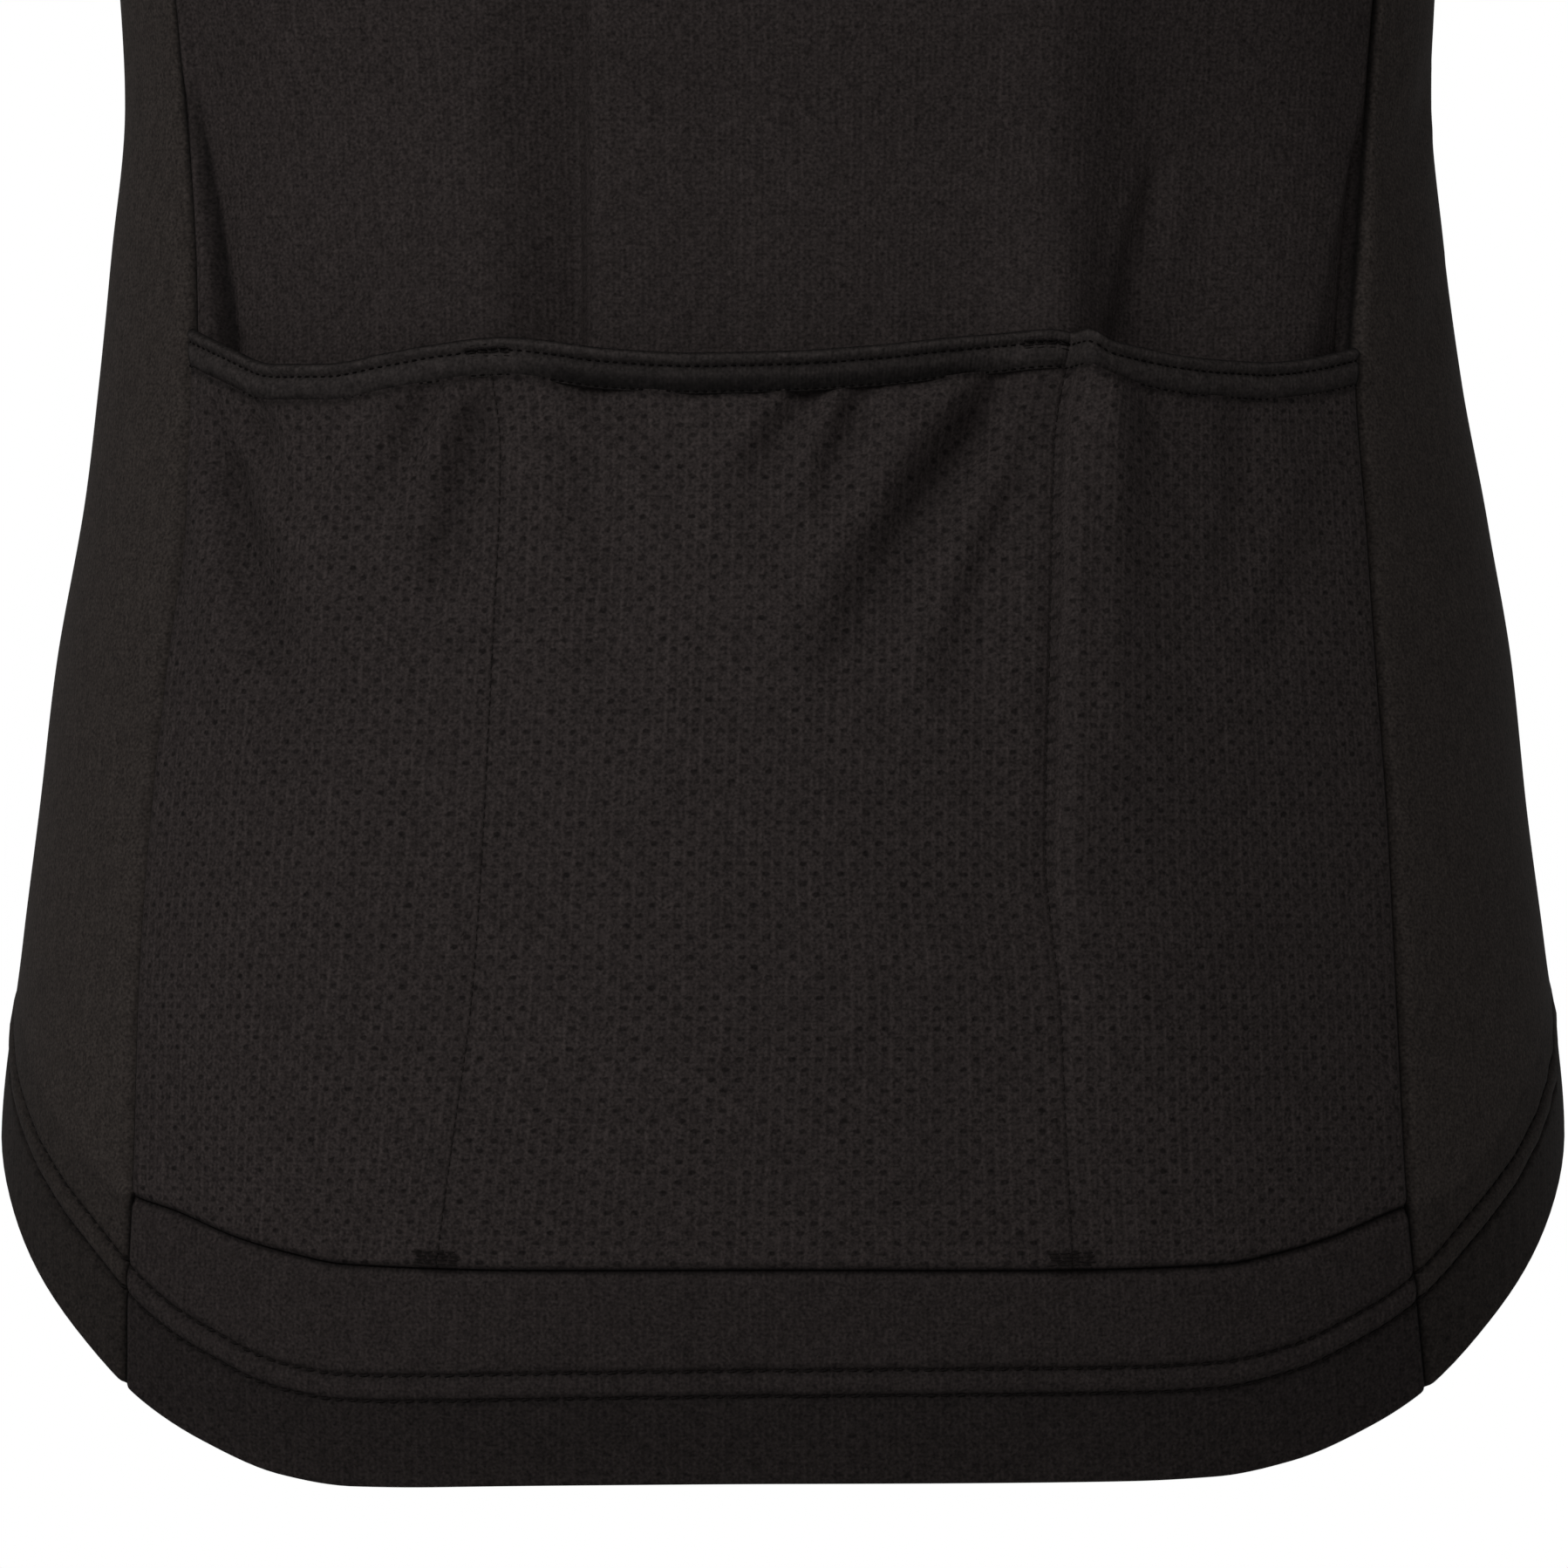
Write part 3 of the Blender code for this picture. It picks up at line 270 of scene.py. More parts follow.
# How much darker it is in the middle: share, distance below the top, height over which that grows
ROLL_SHADOW = (0.25, 1.8, 1.0)
LINE_SHADOW = (0.2, 2.95, 0.5)
BAND_SHADOW = (0.35, 4.8, 1.6)
BAND_SHADOW_END = (8.4, 0.3)   # where the last one ends, and over what height
SLEEVE_STEP = 0.02         # step along the sleeve, as a share, that its normals are taken from
SLEEVE_PLAIN = 12          # length below its seam over which its creases begin
SLEEVE_CALM = (30, 25)     # length below its seam and above the cuff over which its drift begins
COLLAR_CALM = 12           # height over which the collar's drift begins
CUFF_DIP = 0.8             # how far a cuff's sewn edge dips in, as a share of other seams
CUFF_RIBS = (0.1, 3.0)     # ribs round the cuffs: height, distance from one to the next
CREASES_END = (40, 30)     # below the mouths: where the back's creases end, over what height
SIDE_MIRROR = (14, 1.1, 0.9)   # the right side's creases: how much lower, wider and deeper
NORMAL_STEP = 0.05         # step of the differences that give the torso's normals
START_DROP = 600.0         # first guess of a drop that is found in rounds
ROUNDS = 6                 # number of them
GRID = 2.1                 # distance between the points of the cloth
POCKET_GRID = 1.5          # of the pocket cloth,
CUFF_GRID = 1.0            # the cuffs
COLLAR_GRID = 1.9          # and the collar
# Lengths on which the points of each wall are counted out
BACK_HALF_WIDTH = 131
FRONT_WIDTH = 150
SIDE_WIDTH = 76
POCKET_HEIGHT = 190
POCKET_SECTIONS = (66, 124, 66)
COLLAR_HALF_LENGTH = 112
COLLAR_TALL = 38
CROWD = (0.25, 0.55, 0.95, 1.5, 2.3)   # distances from a sewn edge where extra points lie
BACK_CROWD = CROWD + (2.9, 3.5, 4.1, 4.7, 5.3, 5.9, 6.6, 7.6)
# Extra columns beside the dividers and the valleys, as shares of half the back's width
BACK_EXTRA = (0.325, 0.332, 0.347, 0.354, 0.361, 0.538, 0.546, 0.562, 0.570, 0.586)
THIN_EDGE = 0.1            # share of the wall that is left at a rounded edge
# Rows of the body panels. Heights above the hem's edge, up to its first row of stitching
HEM_ROWS = (0, 0.2, 0.5, 0.9, 1.5, 3, 5, 7, 9, 11, 13, 15, 16.6, 17.6, 18.1, 18.45, 18.75)
# Heights above that row, up to the second one
BAND_ROWS = (0, 0.25, 0.55, 0.9, 1.5, 2.7, 3.9, 4.5, 4.85, 5.15)
# Shares of the strip up to the pocket seam, and of the step there
STRIP_ROWS = (0, 0.014, 0.03, 0.05, 0.1, 0.2, 0.32, 0.44, 0.56, 0.68, 0.8, 0.88, 0.93, 0.96, 0.98)
STEP_ROWS = (0, 0.3, 0.65)
# Drops of the lines that the rows follow above it, and how many rows lie below each
UPPER_LINES = (480, 400, ARMPIT_DROP)
UPPER_ROWS = (56, 36, 80)
SIDE_TOP = 6.96            # level, counted in lines, from which the side panels have no rows
UV_ROW = 100               # row whose length sets how the knit is spread across a panel

# The body's knit: strength of its holes, and the share of its colour left under painted shade
HOLES_ABOVE = 0.42         # above the pocket seam
HOLES_STRIP = 0.3          # in the strip between that seam and the hem band
HOLES_BAND = 0.55          # in the hem band
# Painted shade: the strip and the hem band face down, away from the light above
STRIP_SHADE = 0.81
HEM_BAND_SHADE = 0.6
BAND_EDGE = 0.8            # height over which the band's look begins
STRIP_EDGE = 1.5           # and the strip's
STRIP_END = (75, 25)       # angle at which the strip's begins to fade, and over what angle
UPPER_TONE = 0.95          # share of its colour that the back keeps above the pockets
UPPER_FADE = 10            # height below the mouths over which that ends
# Length round each piece, in metres, on which its pattern is laid out
SLEEVE_ROUND = 0.345
CUFF_ROUND = 0.325
COLLAR_ROUND = 0.38

# Creases of the pocket cloth: path of (x, drop), half width, depth (below 0: a ridge)
POCKET_CREASES = (
    (((-48.5, 471), (-36.3, 487.6), (-28.5, 498.7), (-19.6, 515.4), (-8.5, 539)), 7.0, 5.9),
    (((-56, 471.5), (-51, 493.1), (-40, 520.3), (-34, 546)), 6.0, 4.4),
    (((-38, 498), (-28, 520), (-22, 552)), 6.0, 1.0),
    (((42, 480), (38, 512), (36, 550)), 7.0, 1.6),
    (((-6.5, 473), (0.8, 484), (8.5, 497)), 4.2, 3.0),
    (((-17, 474), (-11.5, 487), (-8, 502)), 4.0, 3.4),
    (((46, 474), (34.8, 482), (25.6, 493), (21, 504)), 4.5, 2.0),
    (((54, 474), (47, 492), (42, 520)), 5.0, 1.0),
    (((-67, 468), (-68, 510), (-68, 560)), 5.0, -2.4),
    (((63.4, 473), (66.4, 488), (69.6, 504), (73, 519)), 5.4, 5.4),
    (((73.5, 474), (78.7, 482), (82.4, 493), (86, 502)), 4.0, 2.6),
    (((121, 481), (116.5, 505), (106, 543)), 6.0, 5.4),
    (((114, 479), (109, 488), (102, 503)), 4.4, 4.0),
    (((101.5, 478), (96.5, 494.6)), 4.0, 1.6),
    (((-74, 476.6), (-77.8, 491.4)), 3.0, 1.2),
    (((-94, 478), (-96, 500), (-92, 522)), 5.0, 1.0),
    (((-115.5, 490), (-109, 512), (-102.5, 534)), 5.0, 2.0),
)
# Upright valleys of the back above the pockets: x at their top and bottom, height of the top and
# drop of the bottom, half width towards the left and towards the right, depth
BACK_VALLEYS = (
    (45.5, 46.5, 350, 474, 22, 3.0, 8.0),
    (-85, -79, 360, 474, 18, 30, 5.2),
    (14, 10, 380, 474, 9, 9, 0.6),
    (104, 98, 380, 474, 10, 6, 0.8),
)
# Creases of the back, as above
BACK_CREASES = (
    (((-82, 424), (-77, 446), (-72, 472)), 3.4, 2.4),
    (((20, 300), (8, 352), (-6, 398)), 9.0, 1.2),
    (((-96, 262), (-70, 300), (-52, 352)), 8.0, 1.7),
    (((104, 250), (84, 292), (70, 350)), 8.0, 1.8),
    (((128, 214), (110, 238), (86, 262)), 6.0, 1.4),
    (((-134, 208), (-112, 236), (-92, 252)), 6.0, 1.5),
    (((-40, 120), (-12, 134), (26, 128)), 10.0, 0.9),
)
# Creases of the fronts, as above; x below 0 lies on the wearer's right
FRONT_CREASES = (
    (((150, 202), (122, 226), (92, 240), (60, 246)), 6.0, 2.2),
    (((144, 232), (118, 262), (96, 282)), 5.5, 1.6),
    (((-152, 198), (-120, 220), (-84, 232)), 6.0, 2.0),
    (((-140, 246), (-112, 268), (-88, 300), (-74, 330)), 6.5, 1.8),
    (((112, 392), (80, 410), (46, 416), (16, 410)), 7.0, 2.0),
    (((104, 430), (70, 440), (30, 436)), 6.0, 1.4),
    (((-118, 402), (-88, 424), (-50, 430), (-18, 424)), 7.0, 1.9),
    (((-96, 452), (-60, 462), (-24, 456)), 6.0, 1.3),
    (((40, 96), (58, 140), (62, 180)), 7.0, 1.3),
    (((-46, 102), (-60, 150), (-58, 196)), 7.0, 1.2),
    (((118, 486), (96, 530), (88, 572)), 7.0, 1.5),
    (((-112, 500), (-98, 540), (-96, 580)), 7.0, 1.4),
)
# Creases of the side panels: path of (share from back to front, drop), half width in mm, depth
SIDE_CREASES = (
    (((0.62, 392), (0.8, 406), (0.97, 402)), 6.0, 1.3),
    (((0.66, 440), (0.8, 450), (0.98, 440)), 6.0, 1.0),
    (((0.3, 228), (0.5, 272), (0.55, 312)), 7.0, 1.4),
    (((0.7, 214), (0.75, 262)), 5.0, 1.0),
)
# Creases of the sleeves: path of (turn, share of the length), half width in mm, depth
SLEEVE_CREASES = (
    (((128, 0.03), (140, 0.22), (150, 0.42)), 5.5, 2.4),
    (((166, 0.05), (172, 0.3), (176, 0.5)), 5.0, 2.0),
    (((205, 0.04), (196, 0.26), (190, 0.46)), 5.5, 2.2),
    (((236, 0.06), (222, 0.3)), 5.0, 1.5),
    (((60, 0.34), (86, 0.42), (112, 0.58)), 7.0, 1.4),
    (((292, 0.4), (268, 0.5), (240, 0.66)), 7.0, 1.6),
    (((160, 0.7), (200, 0.74), (228, 0.7)), 6.0, 1.4),
    (((20, 0.05), (34, 0.16), (40, 0.3)), 6.0, 1.0),
)

DEGREE_ROUND_ARM = 0.97    # length of one degree round the sleeve
# The right sleeve's mirror these: length round it that they are taken from, share and shift down it
MIRROR_ROUND = 343
MIRROR_DOWN = (0.93, 9)

# Stitches: length, half width, distance from one to the next, how far they stand out, slant
HEM_STITCH = (2.5, 0.3, 3.2, 0.08, 0.16)
DIVIDER_STITCH = (1.5, 0.13, 2.0, 0.08, 0.0)
BINDING_STITCH = (1.25, 0.22, 1.95, 0.08, 0.0)
EDGE_STITCH = (2.1, 0.16, 2.6, 0.08, 0.0)
TACK_STITCH = (2.4, 0.2, 2.5, 0.5, 0.0)
STITCH_WAVER = (0.06, 0.03)    # how much their slants and their heights vary
STITCH_SEED = 3
ZIP_COLUMN = 6             # column of the fronts that is sewn down beside the zip
COLLAR_ROWS = (5, -8)      # rows of the collar that are sewn down
TACK_LENGTH = 9.8
TACK_LINES = 4             # lines of thread in a tack
TACK_SPACING = 0.85        # distance between them
TACK_POINTS = 9            # points along each
TACK_WAVER = (0.4, 0.15)   # how far they are shifted and how much they slope
TACK_SEED = 20
TACK_ROW_TOP = 8           # row of the binding where the upper tacks lie
TACK_ROW_LOW = 5           # row of the pocket cloth where the lower ones lie
TACK_ASIDE = (-0.5, 5.0)   # how far the binding's tacks lie towards the left of their dividers

# Camera and light
CAMERA_AT = (0.0, 4.0, -0.5578)
CAMERA_LENS = 421.5
CAMERA_SENSOR = 36
CAMERA_END = 60
# Lamps: turn from straight behind the jersey towards its left, height in degrees, power
LAMPS = {"key_lamp": (44, 36, 41), "second_lamp": (15, 27, 16), "front_lamp": (180, 30, 22)}
LIT_MIDDLE = (0.0, 0.0, -0.5)
LAMP_DISTANCE = 3.2
LAMP_SIZE = (1.2, 1.2)
WORLD_LIGHT = 0.34
FLOOR_DROP = 1.45
FLOOR_SIZE = 20
FLOOR_WHITE = 0.8
FLOOR_GLOW = 0.6           # share of its own white that the floor shows the camera


# ---------------------------------------------------------------- numbers that vary smoothly

def curve(rows, column=1):
    """Smooth function through one column of a table, level past its ends."""
    keys = np.array([row[0] for row in rows], float)
    values = np.array([row[column] for row in rows], float)
    steps = np.diff(keys)
    rises = np.diff(values) / steps
    product = rises[:-1] * rises[1:]
    total = np.where(product > 0, rises[:-1] + rises[1:], 1)
    slopes = np.concatenate([rises[:1], np.where(product > 0, 2 * product / total, 0), rises[-1:]])

    def value(at):
        at = np.clip(at, keys[0], keys[-1])
        i = np.clip(np.searchsorted(keys, at, side="right") - 1, 0, len(steps) - 1)
        t = (at - keys[i]) / steps[i]
        bend = slopes[i] * (1 - t) - slopes[i + 1] * t
        ends = values[i] * (1 - t) + values[i + 1] * t
        return ends + t * (1 - t) * (bend * steps[i] - (values[i + 1] - values[i]) * (1 - 2 * t))

    return value


def mix(a, b, share):
    return a + (b - a) * share


def ease(share):
    """0 to 1 with level ends."""
    share = np.clip(share, 0.0, 1.0)
    return share * share * (3 - 2 * share)


def grown(value, start, run):
    """0 before start, 1 from start + run on."""
    return ease((value - start) / run)


def bump(distance, half):
    return np.exp(-(distance / half) ** 2)


half_width = curve(TORSO, 1)
front_depth = curve(TORSO, 2)
back_depth = curve(TORSO, 3)
lean = curve(TORSO, 4)
hem_rise = curve(HEM_RISE)
hem_shift = curve(HEM_SHIFT)
pocket_seam = curve(POCKET_SEAM)
left_back_seam = curve(BACK_SEAM, 1)
right_back_seam = curve(BACK_SEAM, 2)
front_seam = curve(FRONT_SEAM)
mouth = curve(POCKET_MOUTH)
collar_height = curve(COLLAR_HEIGHTS)
left_divider = curve(DIVIDERS, 1)
right_divider = curve(DIVIDERS, 2)
sleeve_section = [curve(SLEEVE, column) for column in range(1, 6)]


def crowded(length, start=True, end=True, spacing=GRID, crowd=CROWD):
    """Shares of a length, evenly spaced but closer together at its sewn ends."""
    first = crowd[-1] if start else 0.0
    last = length - crowd[-1] if end else length
    even = np.linspace(first, last, max(2, round((last - first) / spacing) + 1))
    at = [even]
    if start:
        at.insert(0, np.array((0.0,) + crowd[:-1]))
    if end:
        at.append(length - np.array(crowd[-2::-1] + (0.0,)))
    return np.concatenate(at) / length


# ---------------------------------------------------------------- the torso's form

def points(x, y, z):
    x, y, z = np.broadcast_arrays(x, y, z)
    return np.stack([x, y, z], axis=-1).astype(float)


def unit(vectors):
    return vectors / np.maximum(np.linalg.norm(vectors, axis=-1, keepdims=True), 1e-9)


def ring_value(x, y, drop):
    """0 on the torso, below 0 inside it."""
    depth = np.where(y >= 0, back_depth(drop), front_depth(drop))
    across = np.abs(x - lean(drop)) / half_width(drop)
    along = np.abs(y) / depth
    return across ** RING_ROUNDNESS + along ** RING_ROUNDNESS - 1


def outward(at):
    """Unit normals of the torso at points on it."""
    x, y, drop = at[..., 0], at[..., 1], -at[..., 2]
    step = NORMAL_STEP
    return unit(np.stack([
        ring_value(x + step, y, drop) - ring_value(x - step, y, drop),
        ring_value(x, y + step, drop) - ring_value(x, y - step, drop),
        ring_value(x, y, drop - step) - ring_value(x, y, drop + step),
    ], axis=-1))


def depth_share(share):
    return np.maximum(0.0, 1 - np.minimum(share, 1.0) ** RING_ROUNDNESS) ** (1 / RING_ROUNDNESS)


def on_torso(x, drop, facing):
    """Points of the torso at x and a drop, on the back (facing 1) or the front (facing -1)."""
    depth = back_depth(drop) if facing > 0 else front_depth(drop)
    y = depth * depth_share(np.abs(x - lean(drop)) / half_width(drop))
    return points(x, facing * (y + SEAM_CLOSE), -drop)


def at_angle(angle, drop, side):
    """Points of the torso at an angle from centre back, on the left (side 1) or the right (-1)."""
    turn = np.radians(angle)
    power = 2 / RING_ROUNDNESS
    depth = np.where(angle <= 90, back_depth(drop), -front_depth(drop))
    x = lean(drop) + side * half_width(drop) * np.sin(turn) ** power
    return points(x, depth * np.abs(np.cos(turn)) ** power, -drop)


def angle_of(x, drop, facing):
    share = np.minimum(1.0, np.abs(x - lean(drop)) / half_width(drop))
    angle = np.degrees(np.arcsin(share ** (RING_ROUNDNESS / 2)))
    return angle if facing > 0 else 180 - angle


def drop_above(x, y):
    """Drops at which the torso passes through points of the plan, near the neck and shoulders."""
    x, y = np.broadcast_arrays(np.asarray(x, float), np.asarray(y, float))
    low = np.full(x.shape, float(TORSO[0][0]))
    high = np.full(x.shape, float(ARMPIT_DROP))
    for _ in range(40):
        middle = (low + high) / 2
        outside = ring_value(x, y, middle) > 0
        low = np.where(outside, middle, low)
        high = np.where(outside, high, middle)
    return high


def armhole(turn, side):
    """Points of the armhole: turn 0 at the shoulder, 90 at the back, 180 at the armpit."""
    y = ARMHOLE_HALF_DEPTH * np.sin(np.radians(turn))
    drop = ARMHOLE_DROP - ARMHOLE_HALF_HEIGHT * np.cos(np.radians(turn))
    depth = np.where(y >= 0, back_depth(drop), front_depth(drop))
    x = lean(drop) + side * half_width(drop) * depth_share(np.abs(y) / depth)
    return points(x, y, -drop)


def neckline(turn, side):
    """Points of the neckline: turn 0 at centre back, 90 at the shoulder, 180 at centre front."""
    reach = np.where(np.asarray(turn) <= 90, NECK_BACK, NECK_FRONT)
    x = side * NECK_HALF_WIDTH * np.sin(np.radians(turn))
    y = reach * np.cos(np.radians(turn))
    return points(x, y, -drop_above(x, y))


ARMPIT_TURN = math.degrees(math.acos((ARMHOLE_DROP - ARMPIT_DROP) / ARMHOLE_HALF_HEIGHT))
ZIP_TURN = 180 - math.degrees(math.asin(ZIP_HALF_GAP / NECK_HALF_WIDTH))
SHOULDER_X = float(half_width(ARMHOLE_DROP - ARMHOLE_HALF_HEIGHT))


# ---------------------------------------------------------------- rows shared by the body panels

def hem_drop(angle):
    """Drop of the hem's edge at an angle, which is below 0 on the wearer's right."""
    return TAIL_DROP - hem_rise(np.abs(angle)) + hem_shift(angle)


def band_stretch(angle):
    """How much steeper the hem makes its band, measured straight up."""
    slant = (hem_drop(angle + 2) - hem_drop(angle - 2)) / 4
    return np.hypot(1, slant / ARC_PER_DEGREE)


def hem_height(drop, angle):
    """Height above the hem's edge, square to it."""
    return (hem_drop(angle) - drop) / band_stretch(angle)


def line_drops(angle):
    """Drops of the lines that the rows follow at an angle, from the hem's edge up."""
    hem = hem_drop(angle)
    seam = pocket_seam(np.abs(angle))
    lines = [hem] + [hem - height * band_stretch(angle) for height in HEM_BAND]
    lines += [seam + step for step in TUCK_STEP]
    lines += [np.full(np.shape(angle), float(level)) for level in UPPER_LINES]
    return np.stack(lines)


def row_levels():
    """Where the rows lie, counted in lines from the hem's edge (0) to the armpit (7)."""
    first, second = HEM_BAND
    levels = [height / first for height in HEM_ROWS]
    levels += [1 + height / (second - first) for height in BAND_ROWS]
    levels += [2 + share for share in STRIP_ROWS]
    levels += [3 + share for share in STEP_ROWS]
    for line, count in enumerate(UPPER_ROWS, 4):
        levels += [line + k / count for k in range(count)]
    return np.array(levels + [4.0 + len(UPPER_ROWS)])


LEVELS = row_levels()
# The rows that carry the hem's stitches
HEM_STITCH_ROWS = [int(np.argmin(np.abs(LEVELS - line))) for line in (1, 2)]


def drops_at(levels, angle):
    """Drops of the rows at the angles of a grid."""
    lines = line_drops(angle)
    k = np.minimum(levels.astype(int), len(lines) - 2)
    rows = np.broadcast_to(k[:, None], angle.shape)[None]
    low = np.take_along_axis(lines, rows, axis=0)[0]
    high = np.take_along_axis(lines, rows + 1, axis=0)[0]
    return mix(low, high, (levels - k)[:, None])


def settle(levels, columns, angle_at):
    """Drops where the rows cross columns whose angle depends on the drop."""
    drop = np.full((len(levels), columns), START_DROP)
    for _ in range(ROUNDS):
        drop = drops_at(levels, angle_at(drop))
    return drop


def back_seam(x, drop):
    return np.where(x > 0, left_back_seam(drop), right_back_seam(drop))


def above_pocket_seam(x, drop):
    return pocket_seam(angle_of(x, drop, 1)) - drop


def off_dividers(x, drop):
    """Distances of places from the left and from the right divider."""
    return x - left_divider(drop), x - right_divider(drop)


# ---------------------------------------------------------------- creases and relief

def crease_depth(creases, x, y):
    """How far the creases press the cloth in at places; x and y are in mm.

    A crease is deep soon after its start and fades towards its end. Seen along a path that runs
    down, its flank on the wearer's left is the steeper one.
    """
    at_start, full_at = CREASE_START
    bank, bank_at = CREASE_BANKS
    total = np.zeros(np.broadcast(x, y).shape)
    for path, half, depth in creases:
        lengths = [math.dist(a, b) for a, b in zip(path, path[1:])]
        whole = sum(lengths)
        nearest = np.full(total.shape, 1e9)
        along = np.zeros(total.shape)
        steep = np.zeros(total.shape, bool)
        done = 0.0
        for (x0, y0), (x1, y1), length in zip(path, path[1:], lengths):
            run_x, run_y = x1 - x0, y1 - y0
            share = np.clip(((x - x0) * run_x + (y - y0) * run_y) / length ** 2, 0, 1)
            distance = np.hypot(x - x0 - run_x * share, y - y0 - run_y * share)
            closer = distance < nearest
            along = np.where(closer, done + share * length, along)
            steep = np.where(closer, run_x * (y - y0) - run_y * (x - x0) < 0, steep)
            nearest = np.where(closer, distance, nearest)
            done += length
        share = along / whole
        swell = np.minimum(1, at_start + share / full_at) * np.sqrt(1 - share)
        width = half * mix(*CREASE_SPREAD, share) * np.where(steep, STEEP_FLANK, WIDE_FLANK)
        trough = bump(nearest, width) - bank * bump(nearest - bank_at * width, width)
        total += depth * swell * trough
    return total


def valley_depth(x, drop):
    """How far the upright valleys press the back in; each is steeper on one side."""
    early, run = VALLEY_START
    total = 0.0
    for x0, x1, top, bottom, left, right, depth in BACK_VALLEYS:
        share = np.clip((drop - top) / (bottom - top), 0, 1)
        off = x - mix(x0, x1, share)
        width = np.where(off > 0, left, right) * mix(*VALLEY_SPREAD, share)
        total = total + depth * bump(off, width) * grown(drop, top - early, run)
    return total


def undulation(at, seed, lengths=WAVE_LENGTHS):
    """Slow rise and fall of the cloth as a sum of waves, the same for all pieces that meet."""
    shortest, longest = lengths
    source = np.random.default_rng(seed)
    total = np.zeros(at.shape[:-1])
    for _ in range(WAVES):
        direction = unit(source.normal(size=3) * (1.0, 1.0, 0.7))
        length = mix(shortest, longest, source.random())
        total += length / longest * np.sin(at @ direction * 2 * np.pi / length
                                           + source.random() * 2 * np.pi)
    return total / math.sqrt(WAVES)


def drifted(at):
    """The cloth's points moved a little in and out from the body's axis."""
    flat = unit(at * (1, 1, 0))
    across, drop = np.abs(at[..., 0]), -at[..., 2]
    armpit, run = CALM_ARMPIT
    zip_side = np.where(at[..., 1] < 0, grown(across, *CALM_ZIP), 1.0)
    near_arm = grown(across, *CALM_ARM) * grown(-drop, -armpit, run)
    size = DRIFT * undulation(at, 11) * zip_side * grown(drop, *CALM_NECK) * (1 - near_arm)
    return at + flat * size[..., None]


def spans(base):
    """Distances of a grid's points from its first column, last column, first and last row."""
    across = np.linalg.norm(np.diff(base, axis=1), axis=-1)
    upward = np.linalg.norm(np.diff(base, axis=0), axis=-1)
    from_left = np.concatenate([np.zeros((len(base), 1)), np.cumsum(across, axis=1)], axis=1)
    from_low = np.concatenate([np.zeros((1, base.shape[1])), np.cumsum(upward, axis=0)], axis=0)
    return from_left, from_left[:, -1:] - from_left, from_low, from_low[-1:] - from_low


def seam_dip(*distances):
    """Inset of a sewn edge."""
    return SEAM_DIP * np.maximum.reduce([bump(distance, SEAM_SOFT) for distance in distances])


def seam_stitches_and_shade(*distances, dark=SEAM_DARK, half=SEAM_DARK_HALF):
    """Colour kept near a seam or row of stitching: packed stitches and painted shade darken it."""
    nearest = np.minimum.reduce([np.abs(distance) for distance in distances])
    return 1 - dark * bump(nearest, half)


def rounded(distance, wall):
    """Inset and thickness of a wall near its free, turned edge."""
    radius = wall / 2
    lift = np.sqrt(np.clip(1 - (1 - np.clip(distance / radius, 0, 1)) ** 2, 0, 1))
    left = np.maximum(THIN_EDGE, lift)
    return radius * (1 - left), wall * left


def near_rows(height, half):
    """1 at each of the two rows of hem stitching, fading above and below them."""
    return sum(bump(height - row, half) for row in HEM_BAND)


def hem_relief(drop, angle):
    """Inset (below 0: raised) round the two rows of hem stitching, with their uneven puckers."""
    height = hem_height(drop, angle)
    arc = angle * ARC_PER_DEGREE
    middle, half = HEM_CURL_AT
    ripple = np.sin(arc / 1.9 + 2.2 * np.sin(arc / 17)) + 0.6 * np.sin(arc / 3.3 + np.sin(arc / 29))
    slack = 0.55 + 0.45 * np.sin(arc / 41 + 1.3)
    inset = HEM_GROOVE * near_rows(height, HEM_GROOVE_HALF)
    inset -= HEM_TUBE * bump(height - sum(HEM_BAND) / 2, HEM_TUBE_HALF)
    inset += HEM_CURL * bump(angle - middle, half) * ease(1 - height / HEM_BAND[0])
    inset += PUCKER * ripple * slack * near_rows(height, PUCKER_HALF)
    return inset


def body_wall(drop, angle):
    """Thickness of a body panel: the hem is turned up and sewn down."""
    start, run = HEM_FADE
    return mix(HEM_WALL, KNIT_WALL, grown(hem_height(drop, angle), HEM_BAND[1] + start, run))


def tuck(x, drop):
    """How far the pocket seams hold the back panel in: from above the mouth to the seam."""
    low, high = TUCK_STEP
    above = grown(drop, mouth(x) - TUCK_RUN, TUCK_RUN)
    return PANEL_TUCK * above * grown(above_pocket_seam(x, drop), -low, low - high)


def parting(x, drop):
    """0 to 1 from where the back's creases above the pockets begin, down to the mouths."""
    return np.clip((drop - mouth(x) + PARTING_RUN) / PARTING_RUN, 0, 1)


def sag(x, drop):
    """How much further in the back panel goes between the seams that join it to the pockets.

    On the right it rises from a groove along the side seam to a crease and sinks again beyond it.
    On the left it stays level beside the seam and falls into a narrow crease.
    """
    edge = back_seam(x, drop) - np.abs(x)
    opened = parting(x, drop)
    line = mix(*RIGHT_LINE, opened)
    right = mix(RIGHT_STAYS, 1.0, grown(edge, line, RIGHT_RUN)) * ease(edge / line)
    flat, run = LEFT_FLAT
    left = grown(edge, flat * opened, run)
    held = sum(bump(off, SAG_PARTING) for off in off_dividers(x, drop))
    sunk = PANEL_SAG * np.where(x > 0, left, right) * (1 - held)
    sunk = sunk * grown(drop, mouth(x) - SAG_RUN, SAG_RUN)
    depth, full = RIGHT_WEDGE
    wedge = depth * np.clip(1 - edge / line, 0, 1) * ease(edge / full) * (x < 0)
    depth, half = LEFT_CREASE
    crease = depth * bump(edge - mix(*LEFT_LINE, opened), half) * (x > 0)
    below = ease(above_pocket_seam(x, drop) / SAG_RISE)
    return (sunk + (wedge + crease) * ease(PARTING_SOON * opened)) * below


